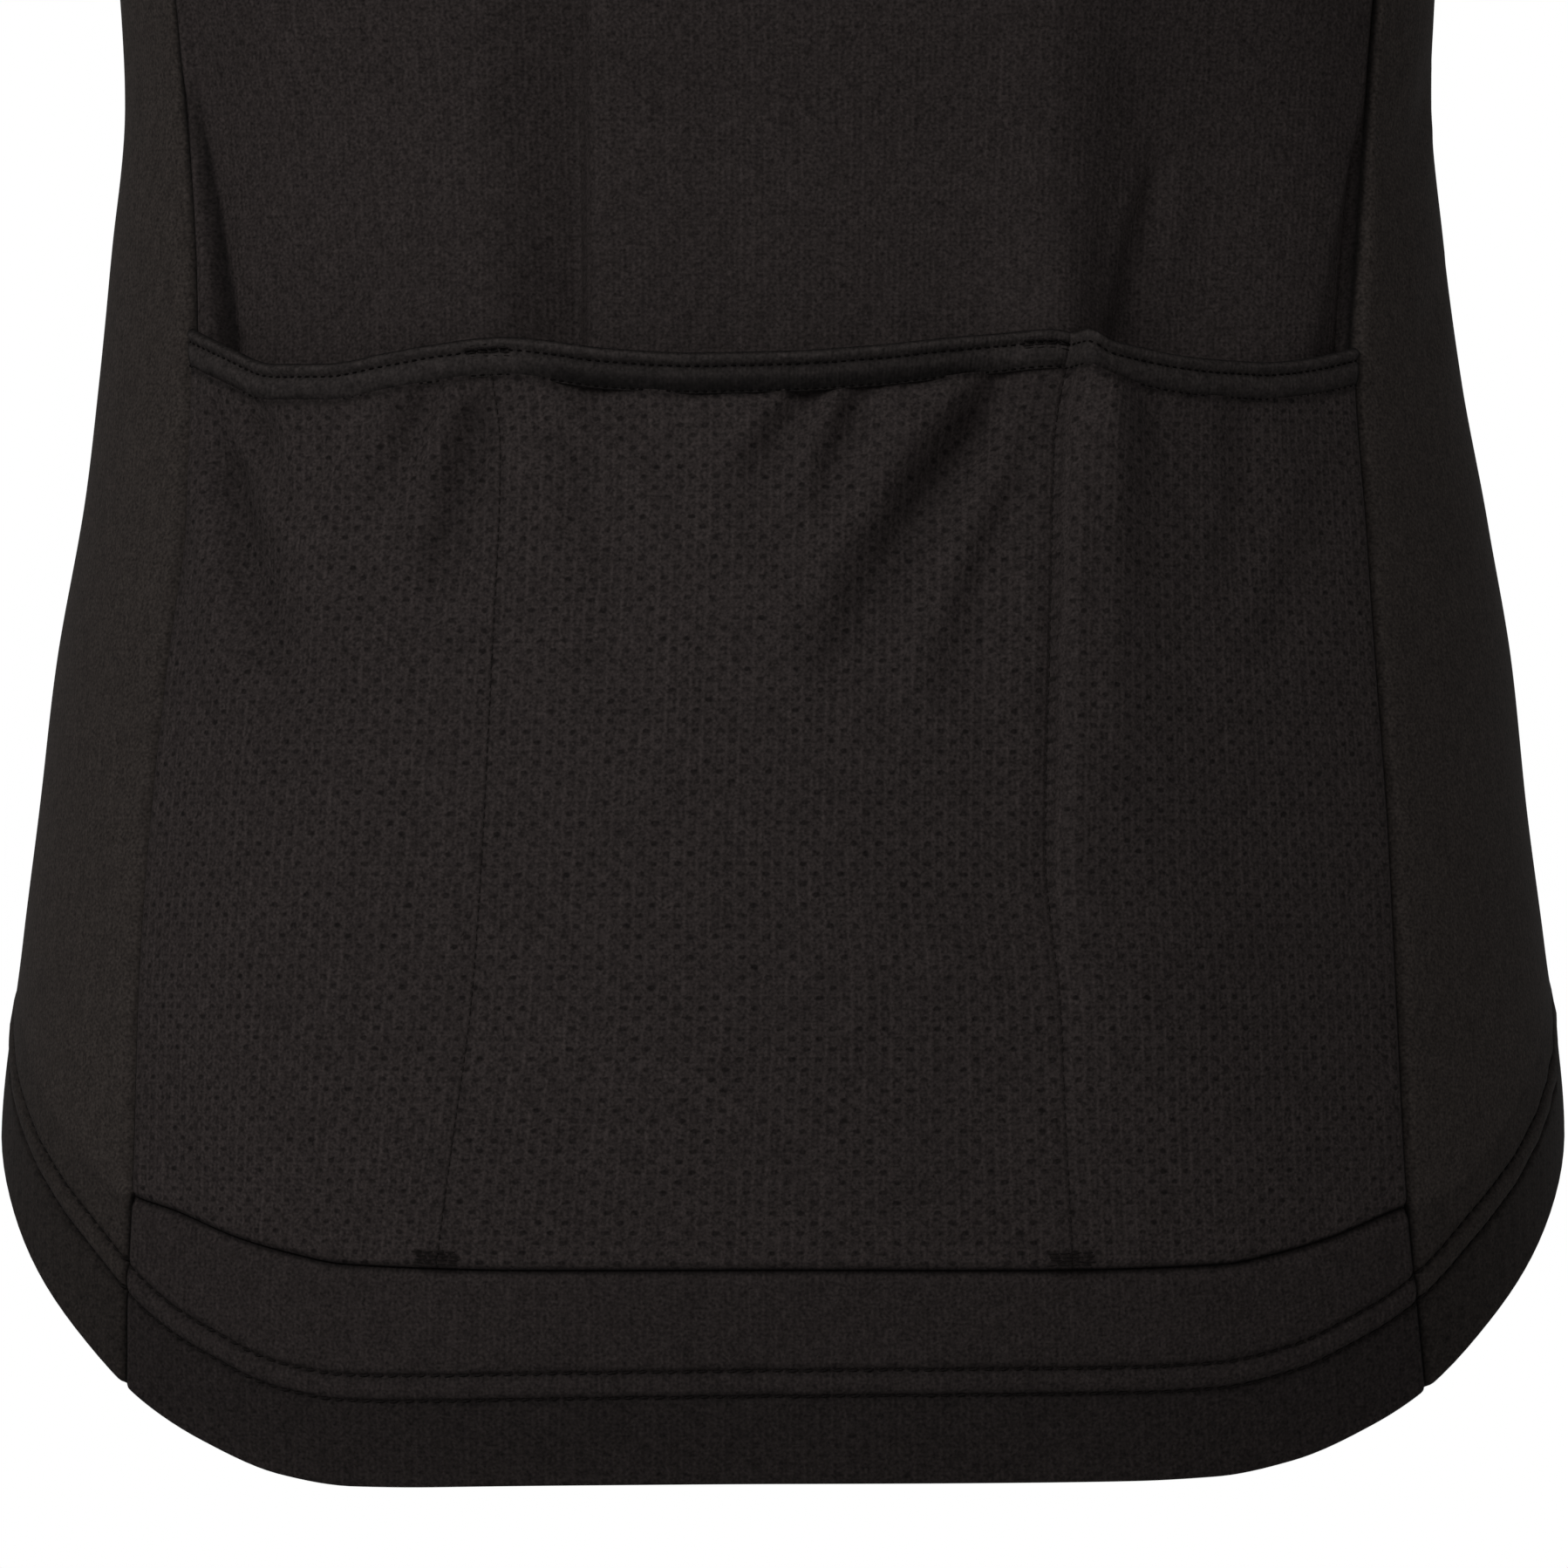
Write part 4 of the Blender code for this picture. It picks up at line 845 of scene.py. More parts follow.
def crease_shade(x, drop):
    """Colour the back keeps under the painted shade in the tight crease beside the left seam."""
    below, run = SHOWN_BELOW
    opened = parting(x, drop)
    off = left_back_seam(drop) - x - LEFT_SHADE_OFF - mix(*LEFT_LINE, opened)
    shown = ease(PARTING_SOON * opened) * grown(-drop, -mouth(x) - below, run)
    return 1 - LEFT_SHADE * bump(off, mix(*LEFT_SHADE_HALF, opened)) * shown


def divider_ridge(x, drop):
    """How far the cloth stands out along the dividers, most just under the mouths."""
    fade = grown(drop, *RIDGE_START) * (1 - RIDGE_LOSS * grown(drop, *RIDGE_SINK))
    fade = fade * ease(above_pocket_seam(x, drop) / RIDGE_END)
    ridges = zip(DIVIDER_RIDGE, off_dividers(x, drop), RIDGE_HALF)
    return fade * sum(height * bump(off, half) for height, off, half in ridges)


# ---------------------------------------------------------------- making walls

PIECES = {}


def add_piece(name, mesh, look, node=None):
    """A jersey piece; look is a material with an unused slot, node the solid it stands for."""
    material, slot = look
    piece = PIECES[name] = bpy.data.objects.new(name, mesh)
    bpy.context.scene.collection.objects.link(piece)
    mesh.materials.append(material)
    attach(piece, "jersey")
    if node:
        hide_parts(node)


def make_wall(name, outer, inner, u, v, wraps=False, fields=None):
    """Closed mesh between two grids of points in mm, with u and v in metres as its UV map."""
    rows, columns = outer.shape[:2]
    wide = columns + 1 if wraps else columns
    grid = np.arange(rows * wide).reshape(rows, wide)
    vert_of = (np.arange(rows)[:, None] * columns + np.arange(wide)[None] % columns).ravel()
    a, b = grid[:-1, :-1].ravel(), grid[:-1, 1:].ravel()
    c, d = grid[1:, 1:].ravel(), grid[1:, :-1].ravel()
    shift = rows * wide
    faces = [np.stack([a, b, c, d], 1), np.stack([a, d, c, b], 1) + shift]
    rims = [(grid[0, 1:], grid[0, :-1]), (grid[-1, :-1], grid[-1, 1:])]
    if not wraps:
        rims += [(grid[:-1, 0], grid[1:, 0]), (grid[1:, -1], grid[:-1, -1])]
    faces += [np.stack([start, end, end + shift, start + shift], 1) for start, end in rims]
    faces = np.concatenate(faces)
    middle = outer[rows // 2, columns // 2]
    beside = outer[rows // 2, columns // 2 + 1] - middle
    above = outer[rows // 2 + 1, columns // 2] - middle
    if np.dot(np.cross(beside, above), middle - inner[rows // 2, columns // 2]) < 0:
        faces = faces[:, ::-1]
    verts = np.concatenate([outer.reshape(-1, 3), inner.reshape(-1, 3)]) * MM
    layer = faces // shift
    index = vert_of[faces % shift] + layer * (rows * columns)
    mesh = bpy.data.meshes.new(name)
    mesh.from_pydata(verts.tolist(), [], index.tolist())
    flat = np.stack([np.broadcast_to(u, (rows, wide)).ravel(),
                     np.broadcast_to(v, (rows, wide)).ravel()], 1)
    mesh.uv_layers.new(name="cloth").uv.foreach_set("vector", flat[faces % shift].ravel())
    for field, values in (fields or {}).items():
        spread = np.broadcast_to(values, (rows, columns)).ravel().astype(float)
        layer = mesh.attributes.new(field, "FLOAT", "POINT")
        layer.data.foreach_set("value", np.concatenate([spread, spread]))
    mesh.shade_smooth()
    mesh.set_sharp_from_angle(angle=math.radians(80))
    mesh.validate()
    return mesh


def inside(outer, normals, wall):
    return outer - normals * np.asarray(wall)[..., None]


def arc_along(path):
    """Distances of a path's points from its start."""
    steps = np.linalg.norm(np.diff(path, axis=0), axis=1)
    return np.concatenate([[0], np.cumsum(steps)])


def path_at(at, arc, path):
    return np.stack([np.interp(at, arc, path[:, k]) for k in range(3)], 1)


def along_path(path, normals, pitch, start=0.0):
    """Places every pitch along a path: points, directions, normals."""
    arc = arc_along(path)
    at = np.arange(start + pitch / 2, arc[-1], pitch)
    ways = path_at(at + 0.4, arc, path) - path_at(at - 0.4, arc, path)
    return path_at(at, arc, path), unit(ways), unit(path_at(at, arc, normals))


def copies(name, shape, shape_faces, places, along, across, out):
    """One mesh of a small shape repeated at places, each turned to its own three directions."""
    verts = (places[:, None] + shape[None, :, :1] * along[:, None]
             + shape[None, :, 1:2] * across[:, None] + shape[None, :, 2:] * out[:, None])
    faces = []
    for k in range(len(places)):
        faces += [[corner + k * len(shape) for corner in face] for face in shape_faces]
    mesh = bpy.data.meshes.new(name)
    mesh.from_pydata((verts.reshape(-1, 3) * MM).tolist(), [], faces)
    mesh.shade_smooth()
    mesh.uv_layers.new(name="cloth")
    return mesh


# ---------------------------------------------------------------- body panels

UPPER_STEPS = np.concatenate([np.linspace(0, 0.97, 46)[1:], [0.98, 0.99, 0.995, 1.0]])


def upper_plan(shares, turns, start_x, end_x, side, facing):
    """x and drop of a half panel above the armpit; rows from the armpit to the shoulder."""
    in_neck = shares <= NECK_SHARE
    turn = mix(turns[0], turns[1], np.minimum(shares / NECK_SHARE, 1))
    neck = neckline(turn, side)
    x = side * mix(NECK_HALF_WIDTH, SHOULDER_X, (shares - NECK_SHARE) / (1 - NECK_SHARE))
    x = np.where(in_neck, neck[:, 0], x)
    drop = np.where(in_neck, -neck[:, 2], drop_above(x, 0.0))
    tops = np.stack([x, drop], 1)
    hole = ARMPIT_TURN * (1 - UPPER_STEPS)
    edge = armhole(hole if facing > 0 else 360 - hole, side)
    edge = np.stack([edge[:, 0], -edge[:, 2]], 1)
    v = ((edge[0, 1] - edge[:, 1]) / (edge[0, 1] - edge[-1, 1]))[:, None, None]
    u = shares[None, :, None]
    start, end = np.array([start_x, ARMPIT_DROP]), np.array([end_x, ARMPIT_DROP])
    low = mix(start, end, u)
    rules = mix(low, tops[None], v) + mix(mix(start, tops[0], v), edge[:, None], u)
    return rules - mix(low, mix(tops[0], tops[-1], u), v)


def body_fields(drop, angle, above, strip, seams):
    """Strength of holes; painted shade in the hem band and strip, stitches and shade at seams."""
    height = hem_height(drop, angle)
    in_band = 1 - grown(height, HEM_BAND[0], BAND_EDGE)
    in_strip = grown(drop, pocket_seam(np.abs(angle)), STRIP_EDGE) * (1 - in_band)
    in_strip = in_strip * (1 - grown(np.abs(angle), *STRIP_END))
    holes = mix(mix(above, strip, in_strip), HOLES_BAND, in_band)
    stitches_and_shade = mix(mix(1.0, STRIP_SHADE, in_strip), HEM_BAND_SHADE, in_band)
    rows = seam_stitches_and_shade(*(height - row for row in HEM_BAND), dark=ROW_DARK, half=ROW_DARK_HALF)
    return {"holes": holes, "stitches_and_shade": stitches_and_shade * np.minimum(rows, seam_stitches_and_shade(*seams))}


def body_panel(name, base, normals, drop, angle, inset, u, fields, fold=None):
    """A body panel's wall with its turned hem; fold is the distance from an edge folded back."""
    edge_inset, wall = rounded(hem_height(drop, angle), body_wall(drop, angle))
    if fold is not None:
        fold_inset, fold_wall = rounded(fold, wall)
        edge_inset, wall = np.maximum(edge_inset, fold_inset), np.minimum(wall, fold_wall)
    inset = inset + hem_relief(drop, angle)
    outer = drifted(base - normals * (inset + edge_inset)[..., None])
    inner = inside(outer, normals, wall)
    mesh = make_wall(name, outer, inner, u, -drop * MM, fields=fields)
    return mesh, outer, normals


def back_panel():
    half = crowded(BACK_HALF_WIDTH, start=False, crowd=BACK_CROWD)
    half = np.sort(np.append(half, BACK_EXTRA))
    shares = np.concatenate([-half[:0:-1], half])

    def x_at(drop):
        seam = np.where(shares > 0, left_back_seam(drop), right_back_seam(drop))
        return shares * (seam - SEAM_CLOSE)

    drop = settle(LEVELS, len(shares),
                  lambda drop: angle_of(x_at(drop), drop, 1) * np.sign(shares))
    x = x_at(drop)
    left = upper_plan(half, (0, 90), 0, left_back_seam(ARMPIT_DROP), 1, 1)
    right = upper_plan(half, (0, 90), 0, -right_back_seam(ARMPIT_DROP), -1, 1)
    plan = np.concatenate([right[:, :0:-1], left], axis=1)
    x = np.concatenate([x, plan[..., 0]])
    drop = np.concatenate([drop, plan[..., 1]])
    base = on_torso(x, drop, 1)
    angle = angle_of(x, drop, 1) * np.sign(x)
    below_seam = drop - pocket_seam(np.abs(angle))
    from_right, from_left, _, from_top = spans(base)
    arc = from_right - from_right[:, len(half) - 1:len(half)]
    end, run = CREASES_END
    shown = grown(-drop, -mouth(x) - end, run)
    pressed = crease_depth(BACK_CREASES, x, drop) + valley_depth(x, drop)
    inset = tuck(x, drop) + sag(x, drop) + pressed * shown - divider_ridge(x, drop)
    furrow, half_furrow = FOOT_FURROW
    inset += furrow * bump(below_seam - TUCK_STEP[0], half_furrow)
    inset += seam_dip(from_right, from_left, from_top)
    fields = body_fields(drop, angle, HOLES_ABOVE, HOLES_STRIP,
                         (from_right, from_left, from_top, below_seam - FOOT_DARK_AT))
    above = 1 - ease((drop - mouth(x)) / UPPER_FADE)
    # Painted shade in the crease beside the left seam; less colour above the pockets
    fields["stitches_and_shade"] = fields["stitches_and_shade"] * crease_shade(x, drop) * mix(1, UPPER_TONE, above)
    return body_panel("back_panel_cloth", base, outward(base), drop, angle, inset,
                      arc[UV_ROW][None] * MM, fields)


def front_panel(side):
    shares = crowded(FRONT_WIDTH)

    def x_at(drop):
        return side * mix(ZIP_HALF_GAP, front_seam(drop) - SEAM_CLOSE, shares)

    drop = settle(LEVELS, len(shares), lambda drop: angle_of(x_at(drop), drop, -1) * side)
    plan = upper_plan(shares, (ZIP_TURN, 90), side * ZIP_HALF_GAP, side * front_seam(ARMPIT_DROP),
                      side, -1)
    x = np.concatenate([x_at(drop), plan[..., 0]])
    drop = np.concatenate([drop, plan[..., 1]])
    base = on_torso(x, drop, -1)
    angle = angle_of(x, drop, -1) * side
    from_zip, from_side, _, from_top = spans(base)
    furrow, beside, half_furrow = ZIP_FURROW
    inset = seam_dip(from_side, from_top) + crease_depth(FRONT_CREASES, x, drop)
    inset += furrow * bump(from_zip - beside, half_furrow)
    fields = body_fields(drop, angle, HOLES_ABOVE, HOLES_STRIP, (from_side, from_top))
    return body_panel("front_cloth", base, outward(base), drop, angle, inset,
                      side * from_zip[UV_ROW][None] * MM + 1, fields, fold=from_zip)


def armpit_turns(shares):
    return mix(ARMPIT_TURN, 360 - ARMPIT_TURN, shares)


def side_panel(side):
    shares = crowded(SIDE_WIDTH)
    gap = SEAM_CLOSE / ARC_PER_DEGREE

    def angle_at(drop):
        seam = left_back_seam(drop) if side > 0 else right_back_seam(drop)
        back = angle_of(side * seam, drop, 1) + gap
        front = angle_of(side * front_seam(drop), drop, -1) - gap
        return mix(back, front, shares)

    drop = settle(LEVELS[LEVELS < SIDE_TOP], len(shares), lambda drop: angle_at(drop) * side)
    angle = angle_at(drop)
    base = at_angle(angle, drop, side)
    top = armhole(armpit_turns(shares), side)[None]
    base = np.concatenate([base, mix(base[-1:], top, TOP_ROW), top])
    drop = np.concatenate([drop, -base[-2:, :, 2]])
    angle = np.concatenate([angle, angle[-1:], angle[-1:]]) * side
    from_back, from_front, _, from_top = spans(base)
    inset = seam_dip(from_back, from_front, from_top)
    above = drop < pocket_seam(np.abs(angle))
    inset += tuck(base[..., 0], drop) * bump(from_back, STEP_END) * above
    creases = [([(share * SIDE_WIDTH, low) for share, low in path], half, depth)
               for path, half, depth in SIDE_CREASES]
    if side < 0:
        lower, wider, deeper = SIDE_MIRROR
        creases = [([(SIDE_WIDTH - across, low + lower) for across, low in path], half * wider,
                    depth * deeper) for path, half, depth in creases]
    inset += crease_depth(creases, from_back * SIDE_WIDTH / from_back[:, -1:], drop)
    fields = body_fields(drop, angle, 0.0, 0.0, (from_back, from_front, from_top))
    return body_panel("side_panel_cloth", base, outward(base), drop, angle, inset,
                      side * shares[None] * SIDE_WIDTH * MM + 2, fields)


# ---------------------------------------------------------------- pockets

def pocket_shares():
    """Columns of the pocket cloth as (section, share) pairs; the dividers are columns too."""
    columns = []
    for section, length in enumerate(POCKET_SECTIONS):
        columns += [(section, share) for share in crowded(length, spacing=POCKET_GRID)[:-1]]
    return np.array(columns + [(2, 1.0)])


POCKET_COLUMNS = pocket_shares()
RIGHT_DIVIDER = int(np.argmax((POCKET_COLUMNS[:, 0] == 1)))
LEFT_DIVIDER = int(np.argmax((POCKET_COLUMNS[:, 0] == 2)))


def pocket_x(drop):
    """x of every column of the pocket cloth; drop has one column or all of them."""
    drop = np.broadcast_to(drop, (len(drop), len(POCKET_COLUMNS)))
    stops = np.stack([SEAM_CLOSE - right_back_seam(drop), right_divider(drop), left_divider(drop),
                      left_back_seam(drop) - SEAM_CLOSE])
    section = np.broadcast_to(POCKET_COLUMNS[:, 0].astype(int), drop.shape)[None]
    low = np.take_along_axis(stops, section, axis=0)[0]
    high = np.take_along_axis(stops, section + 1, axis=0)[0]
    return mix(low, high, POCKET_COLUMNS[:, 1])


def pocket_bulge(height):
    """How far the pocket cloth stands out; height is 0 at its bottom seam, 1 at the mouths."""
    section, share = POCKET_COLUMNS.T
    share = np.where(section == 0, share ** POCKET_SKEW, share)
    across = 1 - (2 * share - 1) ** 2
    upward = np.sin(math.pi / 2 * np.minimum(1.0, height / POCKET_FULL_AT))
    tilted = np.where(section == 0, ease((1 - share) / TILT_TURN) * share, 0)
    low, high = TILT_RUN
    tilted = POCKET_TILT * tilted * grown(height, low, high - low)
    return LAY_GAP + (np.array(POCKET_EASE)[section.astype(int)] * across + tilted) * upward


def middle_pocket(x, drop):
    """1 over the middle pocket, 0 beyond its dividers."""
    off_left, off_right = off_dividers(x, drop)
    return grown(off_right, *MIDDLE_RIGHT) * grown(-off_left, *MIDDLE_LEFT)


def divider_groove(x, drop):
    """Furrow of the stitching that parts the pockets, a little uneven along its way."""
    uneven = 0.75 + 0.25 * np.sin(drop / 7.3) * np.sin(drop / 3.1)
    return uneven * sum(bump(off, GROOVE_HALF) for off in off_dividers(x, drop))


def pocket_panel():
    heights = crowded(POCKET_HEIGHT, spacing=POCKET_GRID)
    drop = np.full((len(heights), len(POCKET_COLUMNS)), START_DROP)
    for _ in range(ROUNDS):
        x = pocket_x(drop)
        low = pocket_seam(angle_of(x, drop, 1))
        high = mouth(x) + BINDING_HEIGHT - BINDING_LAP
        drop = mix(low, high, heights[:, None])
    base = on_torso(x, drop, 1)
    normals = outward(base)
    middle = middle_pocket(x, drop)
    from_right, from_left, from_low, from_top = spans(base)
    bulge = pocket_bulge(heights[:, None])
    room = np.minimum(1.0, bulge / POCKET_ROOM)
    creases = crease_depth(POCKET_CREASES, x, drop)
    press = creases * room + POCKET_GROOVE * divider_groove(x, drop) - divider_ridge(x, drop)
    size, half = POCKET_FOOT
    press += seam_dip(from_right, from_left) * POCKET_DIP + size * bump(from_low, half)
    size, half = MOUTH_PRESS
    press += size * bump(from_top, half) * middle
    size, half = GATHER
    press += size * np.sin(x / 2.9 + 1.7 * np.sin(x / 13)) * bump(from_top, half) * room
    lift = bulge - tuck(x, drop) + KNIT_WALL - press
    # Painted shade: at seams and dividers with their stitches, under the binding, in creases
    stitches_and_shade = seam_stitches_and_shade(from_right, from_left) * seam_stitches_and_shade(from_low, half=FOOT_DARK_HALF)
    dark, half = DIVIDER_DARK
    stitches_and_shade = stitches_and_shade * seam_stitches_and_shade(*off_dividers(x, drop), dark=dark, half=half)
    dark, down, half = MOUTH_SHADOW
    stitches_and_shade = stitches_and_shade * (1 - dark * bump(from_top - down, half))
    stitches_and_shade = stitches_and_shade * (1 - CREASE_DARK * np.clip(creases, 0, CREASE_DARKEST))
    outer = drifted(base + normals * lift[..., None])
    inner = inside(outer, normals, KNIT_WALL)
    u = from_right[len(heights) // 2][None] * MM
    mesh = make_wall("pocket_cloth", outer, inner, u, -drop * MM,
                     fields={"holes": 1.0, "stitches_and_shade": stitches_and_shade})
    return mesh, outer, normals


# The binding's own section: distance below its top edge, how far it stands out, its painted shade
BINDING_SECTION = (
    (0.0, -0.7, 0.3), (0.25, -0.3, 0.45), (0.6, 0.2, 0.8), (0.95, 0.55, 1.1), (1.45, 0.65, 1.15),
    (1.9, 0.5, 0.98), (2.35, 0.2, 0.92), (2.65, -0.1, 0.85), (2.95, -0.25, 0.8), (3.2, -0.1, 0.85),
    (3.5, 0.15, 0.92), (3.9, 0.4, 1.05), (5.0, 0.5, 1.07), (5.9, 0.45, 0.95), (6.6, 0.35, 0.85),
    (7.2, 0.15, 0.75), (7.7, -0.1, 0.6), (8.15, -0.25, 0.5), (8.35, -0.1, 0.7), (8.5, -0.2, 0.6),
    (8.6, -0.5, 0.5),
)
BINDING_ROWS = (8, 17)      # where the two rows of stitches lie in that section


def binding_shadow(below):
    """How much darker the middle of the binding is: under its roll and down its band."""
    roll, roll_at, roll_run = ROLL_SHADOW
    line, line_at, half = LINE_SHADOW
    band, band_at, band_run = BAND_SHADOW
    end, end_run = BAND_SHADOW_END
    under_roll = roll * grown(below, roll_at, roll_run) + line * bump(below - line_at, half)
    return under_roll + band * grown(below, band_at, band_run) * grown(-below, -end, end_run)


def pocket_binding():
    """Elastic edging along the three pocket mouths: a rolled edge over a stitched band."""
    below, proud, stitches_and_shade = np.array(BINDING_SECTION).T[..., None]
    x = pocket_x(np.full(below.shape, float(POCKET_MOUTH[0][1])))
    for _ in range(3):
        drop = mouth(x) + below
        x = pocket_x(drop)
    base = on_torso(x, drop, 1)
    normals = outward(base)
    middle = middle_pocket(x, drop)
    from_right, from_left, _, _ = spans(base)
    lift = pocket_bulge(1.0) - tuck(x, drop) + KNIT_WALL + proud + divider_ridge(x, drop)
    lift -= BINDING_DIP * seam_dip(from_right, from_left) + BINDING_GROOVE * divider_groove(x, drop)
    lift += BINDING_LEAN * (1 - below / below[-1]) * middle
    size, down, half = BINDING_RIPPLE
    lift += size * np.sin(x / 1.7 + 2 * np.sin(x / 9)) * bump(below - down, half)
    outer = drifted(base + normals * lift[..., None])
    wall = np.maximum(BINDING_THIN, KNIT_WALL + proud - BINDING_THIN)
    inner = inside(outer, normals, np.broadcast_to(wall, x.shape))
    shade = stitches_and_shade * (1 - binding_shadow(below) * middle)
    mesh = make_wall("binding_cloth", outer, inner, x[:1] * MM, -below * MM,
                     fields={"stitches_and_shade": shade * seam_stitches_and_shade(from_right, from_left)})
    return mesh, outer, normals


# ---------------------------------------------------------------- sleeves, cuffs, collar

def section_point(turn, share, side):
    """Points of a sleeve's section: an oval across the sleeve's own direction."""
    x, drop, tilt, half_height, half_depth = (value(share) for value in sleeve_section)
    tilt, turn = np.radians(tilt), np.radians(turn)
    rise = half_height * np.cos(turn)
    return points(side * (x + np.sin(tilt) * rise), half_depth * np.sin(turn),
                  -drop + np.cos(tilt) * rise)


def sleeve_point(turn, share, side):
    """Points of a sleeve, which starts with the armhole's own shape."""
    fade = np.where(share < SEAM_BLEND, 1 - ease(share / SEAM_BLEND), 0.0)
    start = armhole(turn, side) - section_point(turn, share * 0, side)
    return section_point(turn, share, side) + start * fade[..., None]


def sleeve_creases(side):
    """The creases on one sleeve, in mm round the arm and down it.

    Those of the right one are mirrored, each shifted a little and of another depth.
    """
    creases = [([(turn * DEGREE_ROUND_ARM, share * SLEEVE_LENGTH) for turn, share in path], half,
                depth) for path, half, depth in SLEEVE_CREASES]
    if side > 0:
        return creases
    share, shift = MIRROR_DOWN
    return [([(MIRROR_ROUND - across + 6 * k % 9, down * share + shift) for across, down in path],
             half, depth * (0.85 + 0.1 * (k % 4)))
            for k, (path, half, depth) in enumerate(creases)]


SLEEVE_TURNS = np.arange(0, 360, 2.25)[None]
ROUND_SHARES = np.arange(SLEEVE_TURNS.size + 1)[None] / SLEEVE_TURNS.size


def sleeve(side):
    turn, share = np.broadcast_arrays(SLEEVE_TURNS, crowded(SLEEVE_LENGTH)[:, None])
    base = sleeve_point(turn, share, side)
    around = sleeve_point(turn + 1, share, side) - sleeve_point(turn - 1, share, side)
    low, high = np.maximum(share - SLEEVE_STEP, 0), np.minimum(share + SLEEVE_STEP, 1)
    along = sleeve_point(turn, high, side) - sleeve_point(turn, low, side)
    normals = unit(np.cross(along, around)) * side
    away = base - section_point(turn, share, side).mean(axis=1, keepdims=True)
    normals *= np.sign((normals * away).sum(-1).mean())
    distance = share * SLEEVE_LENGTH
    left = SLEEVE_LENGTH - distance
    at_seam = outward(armhole(turn[:1], side))
    normals = unit(mix(at_seam, normals, ease(distance / ARM_TURN)[..., None]))
    creases, at_turn = sleeve_creases(side), turn * DEGREE_ROUND_ARM
    press = crease_depth(creases, at_turn, distance)
    press += crease_depth(creases, at_turn - 360 * DEGREE_ROUND_ARM, distance)
    inset = seam_dip(distance, left) + press * ease(distance / SLEEVE_PLAIN)
    below_seam, above_cuff = SLEEVE_CALM
    calm = ease(distance / below_seam) * ease(left / above_cuff)
    inset = inset + SLEEVE_DRIFT * undulation(base, 5) * calm
    outer = base - normals * inset[..., None]
    return make_wall("sleeve_cloth", outer, inside(outer, normals, KNIT_WALL),
                     ROUND_SHARES * SLEEVE_ROUND, distance[:, :1] * MM, wraps=True,
                     fields={"holes": 0.0, "stitches_and_shade": seam_stitches_and_shade(distance, left)})


def cuff(side):
    """Elastic gripper band that carries on the line of the sleeve, with fine ribs round it."""
    tilt = math.radians(SLEEVE[-1][3])
    along = np.array([side * math.cos(tilt), 0, -math.sin(tilt)])
    end = np.array([side * SLEEVE[-1][1], 0, -SLEEVE[-1][2]])
    share = crowded(CUFF_LENGTH, spacing=CUFF_GRID)[:, None]
    scale = mix(1.0, CUFF_HALF_HEIGHT / SLEEVE[-1][4], share)
    spoke = (section_point(SLEEVE_TURNS, np.ones(1), side) - end) * scale[..., None]
    normals = unit(spoke)
    distance = np.broadcast_to(share * CUFF_LENGTH, spoke.shape[:2])
    size, pitch = CUFF_RIBS
    ribs = size * np.cos(distance * 2 * math.pi / pitch)
    edge_inset, wall = rounded(CUFF_LENGTH - distance, CUFF_WALL)
    lift = CUFF_PROUD + ribs - CUFF_DIP * seam_dip(distance) - edge_inset
    base = end + along * (SEAM_CLOSE + distance)[..., None] + spoke
    outer = base + normals * lift[..., None]
    return make_wall("cuff_cloth", outer, inside(outer, normals, wall),
                     ROUND_SHARES * CUFF_ROUND, distance[:, :1] * MM, wraps=True,
                     fields={"stitches_and_shade": seam_stitches_and_shade(distance)})


def collar_point(turn, side, height):
    foot = neckline(turn, side)
    step = neckline(turn - 0.5, side) - neckline(turn + 0.5, side)
    flat = unit(points(step[..., 1], -step[..., 0], 0))
    flat *= np.where((flat * foot * (1, 1, 0)).sum(-1, keepdims=True) < 0, -1, 1)
    rise = np.array([0, 0, 1]) - flat * COLLAR_LEAN
    foot = foot + np.array([0, 0, COLLAR_LIFT])
    return foot + rise * (collar_height(turn) * height)[..., None], flat


def collar():
    turns = mix(ZIP_TURN, 0, crowded(COLLAR_HALF_LENGTH, end=False))
    heights = crowded(COLLAR_TALL, spacing=COLLAR_GRID)[:, None]
    left, left_flat = collar_point(turns[None], 1, heights)
    right, right_flat = collar_point(turns[None], -1, heights)
    base = np.concatenate([left, right[:, -2::-1]], axis=1)
    normals = np.concatenate([left_flat, right_flat[:, -2::-1]], axis=1)
    from_left, from_right, from_low, from_top = spans(base)
    normals = np.broadcast_to(normals, base.shape)
    edge_inset, wall = rounded(from_top, COLLAR_WALL)
    end_inset, end_wall = rounded(np.minimum(from_left, from_right), COLLAR_WALL)
    foot = np.concatenate([neckline(turns, 1), neckline(turns, -1)[-2::-1]])
    at_seam = outward(foot)[None]
    sunk = SEAM_DIP * bump(from_low, SEAM_SOFT) + FOOT_SUNK * (1 - ease(from_low / NECK_TURN))
    depth, (below_top, above_foot), half = COLLAR_FURROWS
    inset = np.maximum(edge_inset, end_inset) + depth * bump(from_top - below_top, half)
    inset += depth * bump(from_low - above_foot, half)
    calm = ease(from_low / COLLAR_CALM)
    inset += COLLAR_DRIFT * undulation(base, 8, COLLAR_WAVE_LENGTHS) * calm
    outer = base - normals * inset[..., None] - at_seam * sunk[..., None]
    turned = unit(mix(at_seam, normals, 0.5 + 0.5 * ease(from_low / NECK_TURN)[..., None]))
    inner = inside(outer, turned, np.minimum(wall, end_wall))
    u = np.linspace(0, COLLAR_ROUND, base.shape[1])[None]
    mesh = make_wall("collar_cloth", outer, inner, u, heights * COLLAR_TALL * MM,
                     fields={"holes": 0.0, "stitches_and_shade": seam_stitches_and_shade(from_low)})
    return mesh, outer, normals


# ---------------------------------------------------------------- zip

def window_sum(rows):
    """Sum of each row and its neighbours, the first and the last row repeated past the ends."""
    ends = SMOOTH_ROWS
    padded = np.concatenate([rows[:1]] * ends + [rows] + [rows[-1:]] * ends)
    return sum(padded[k:k + len(rows)] for k in range(2 * ends + 1))


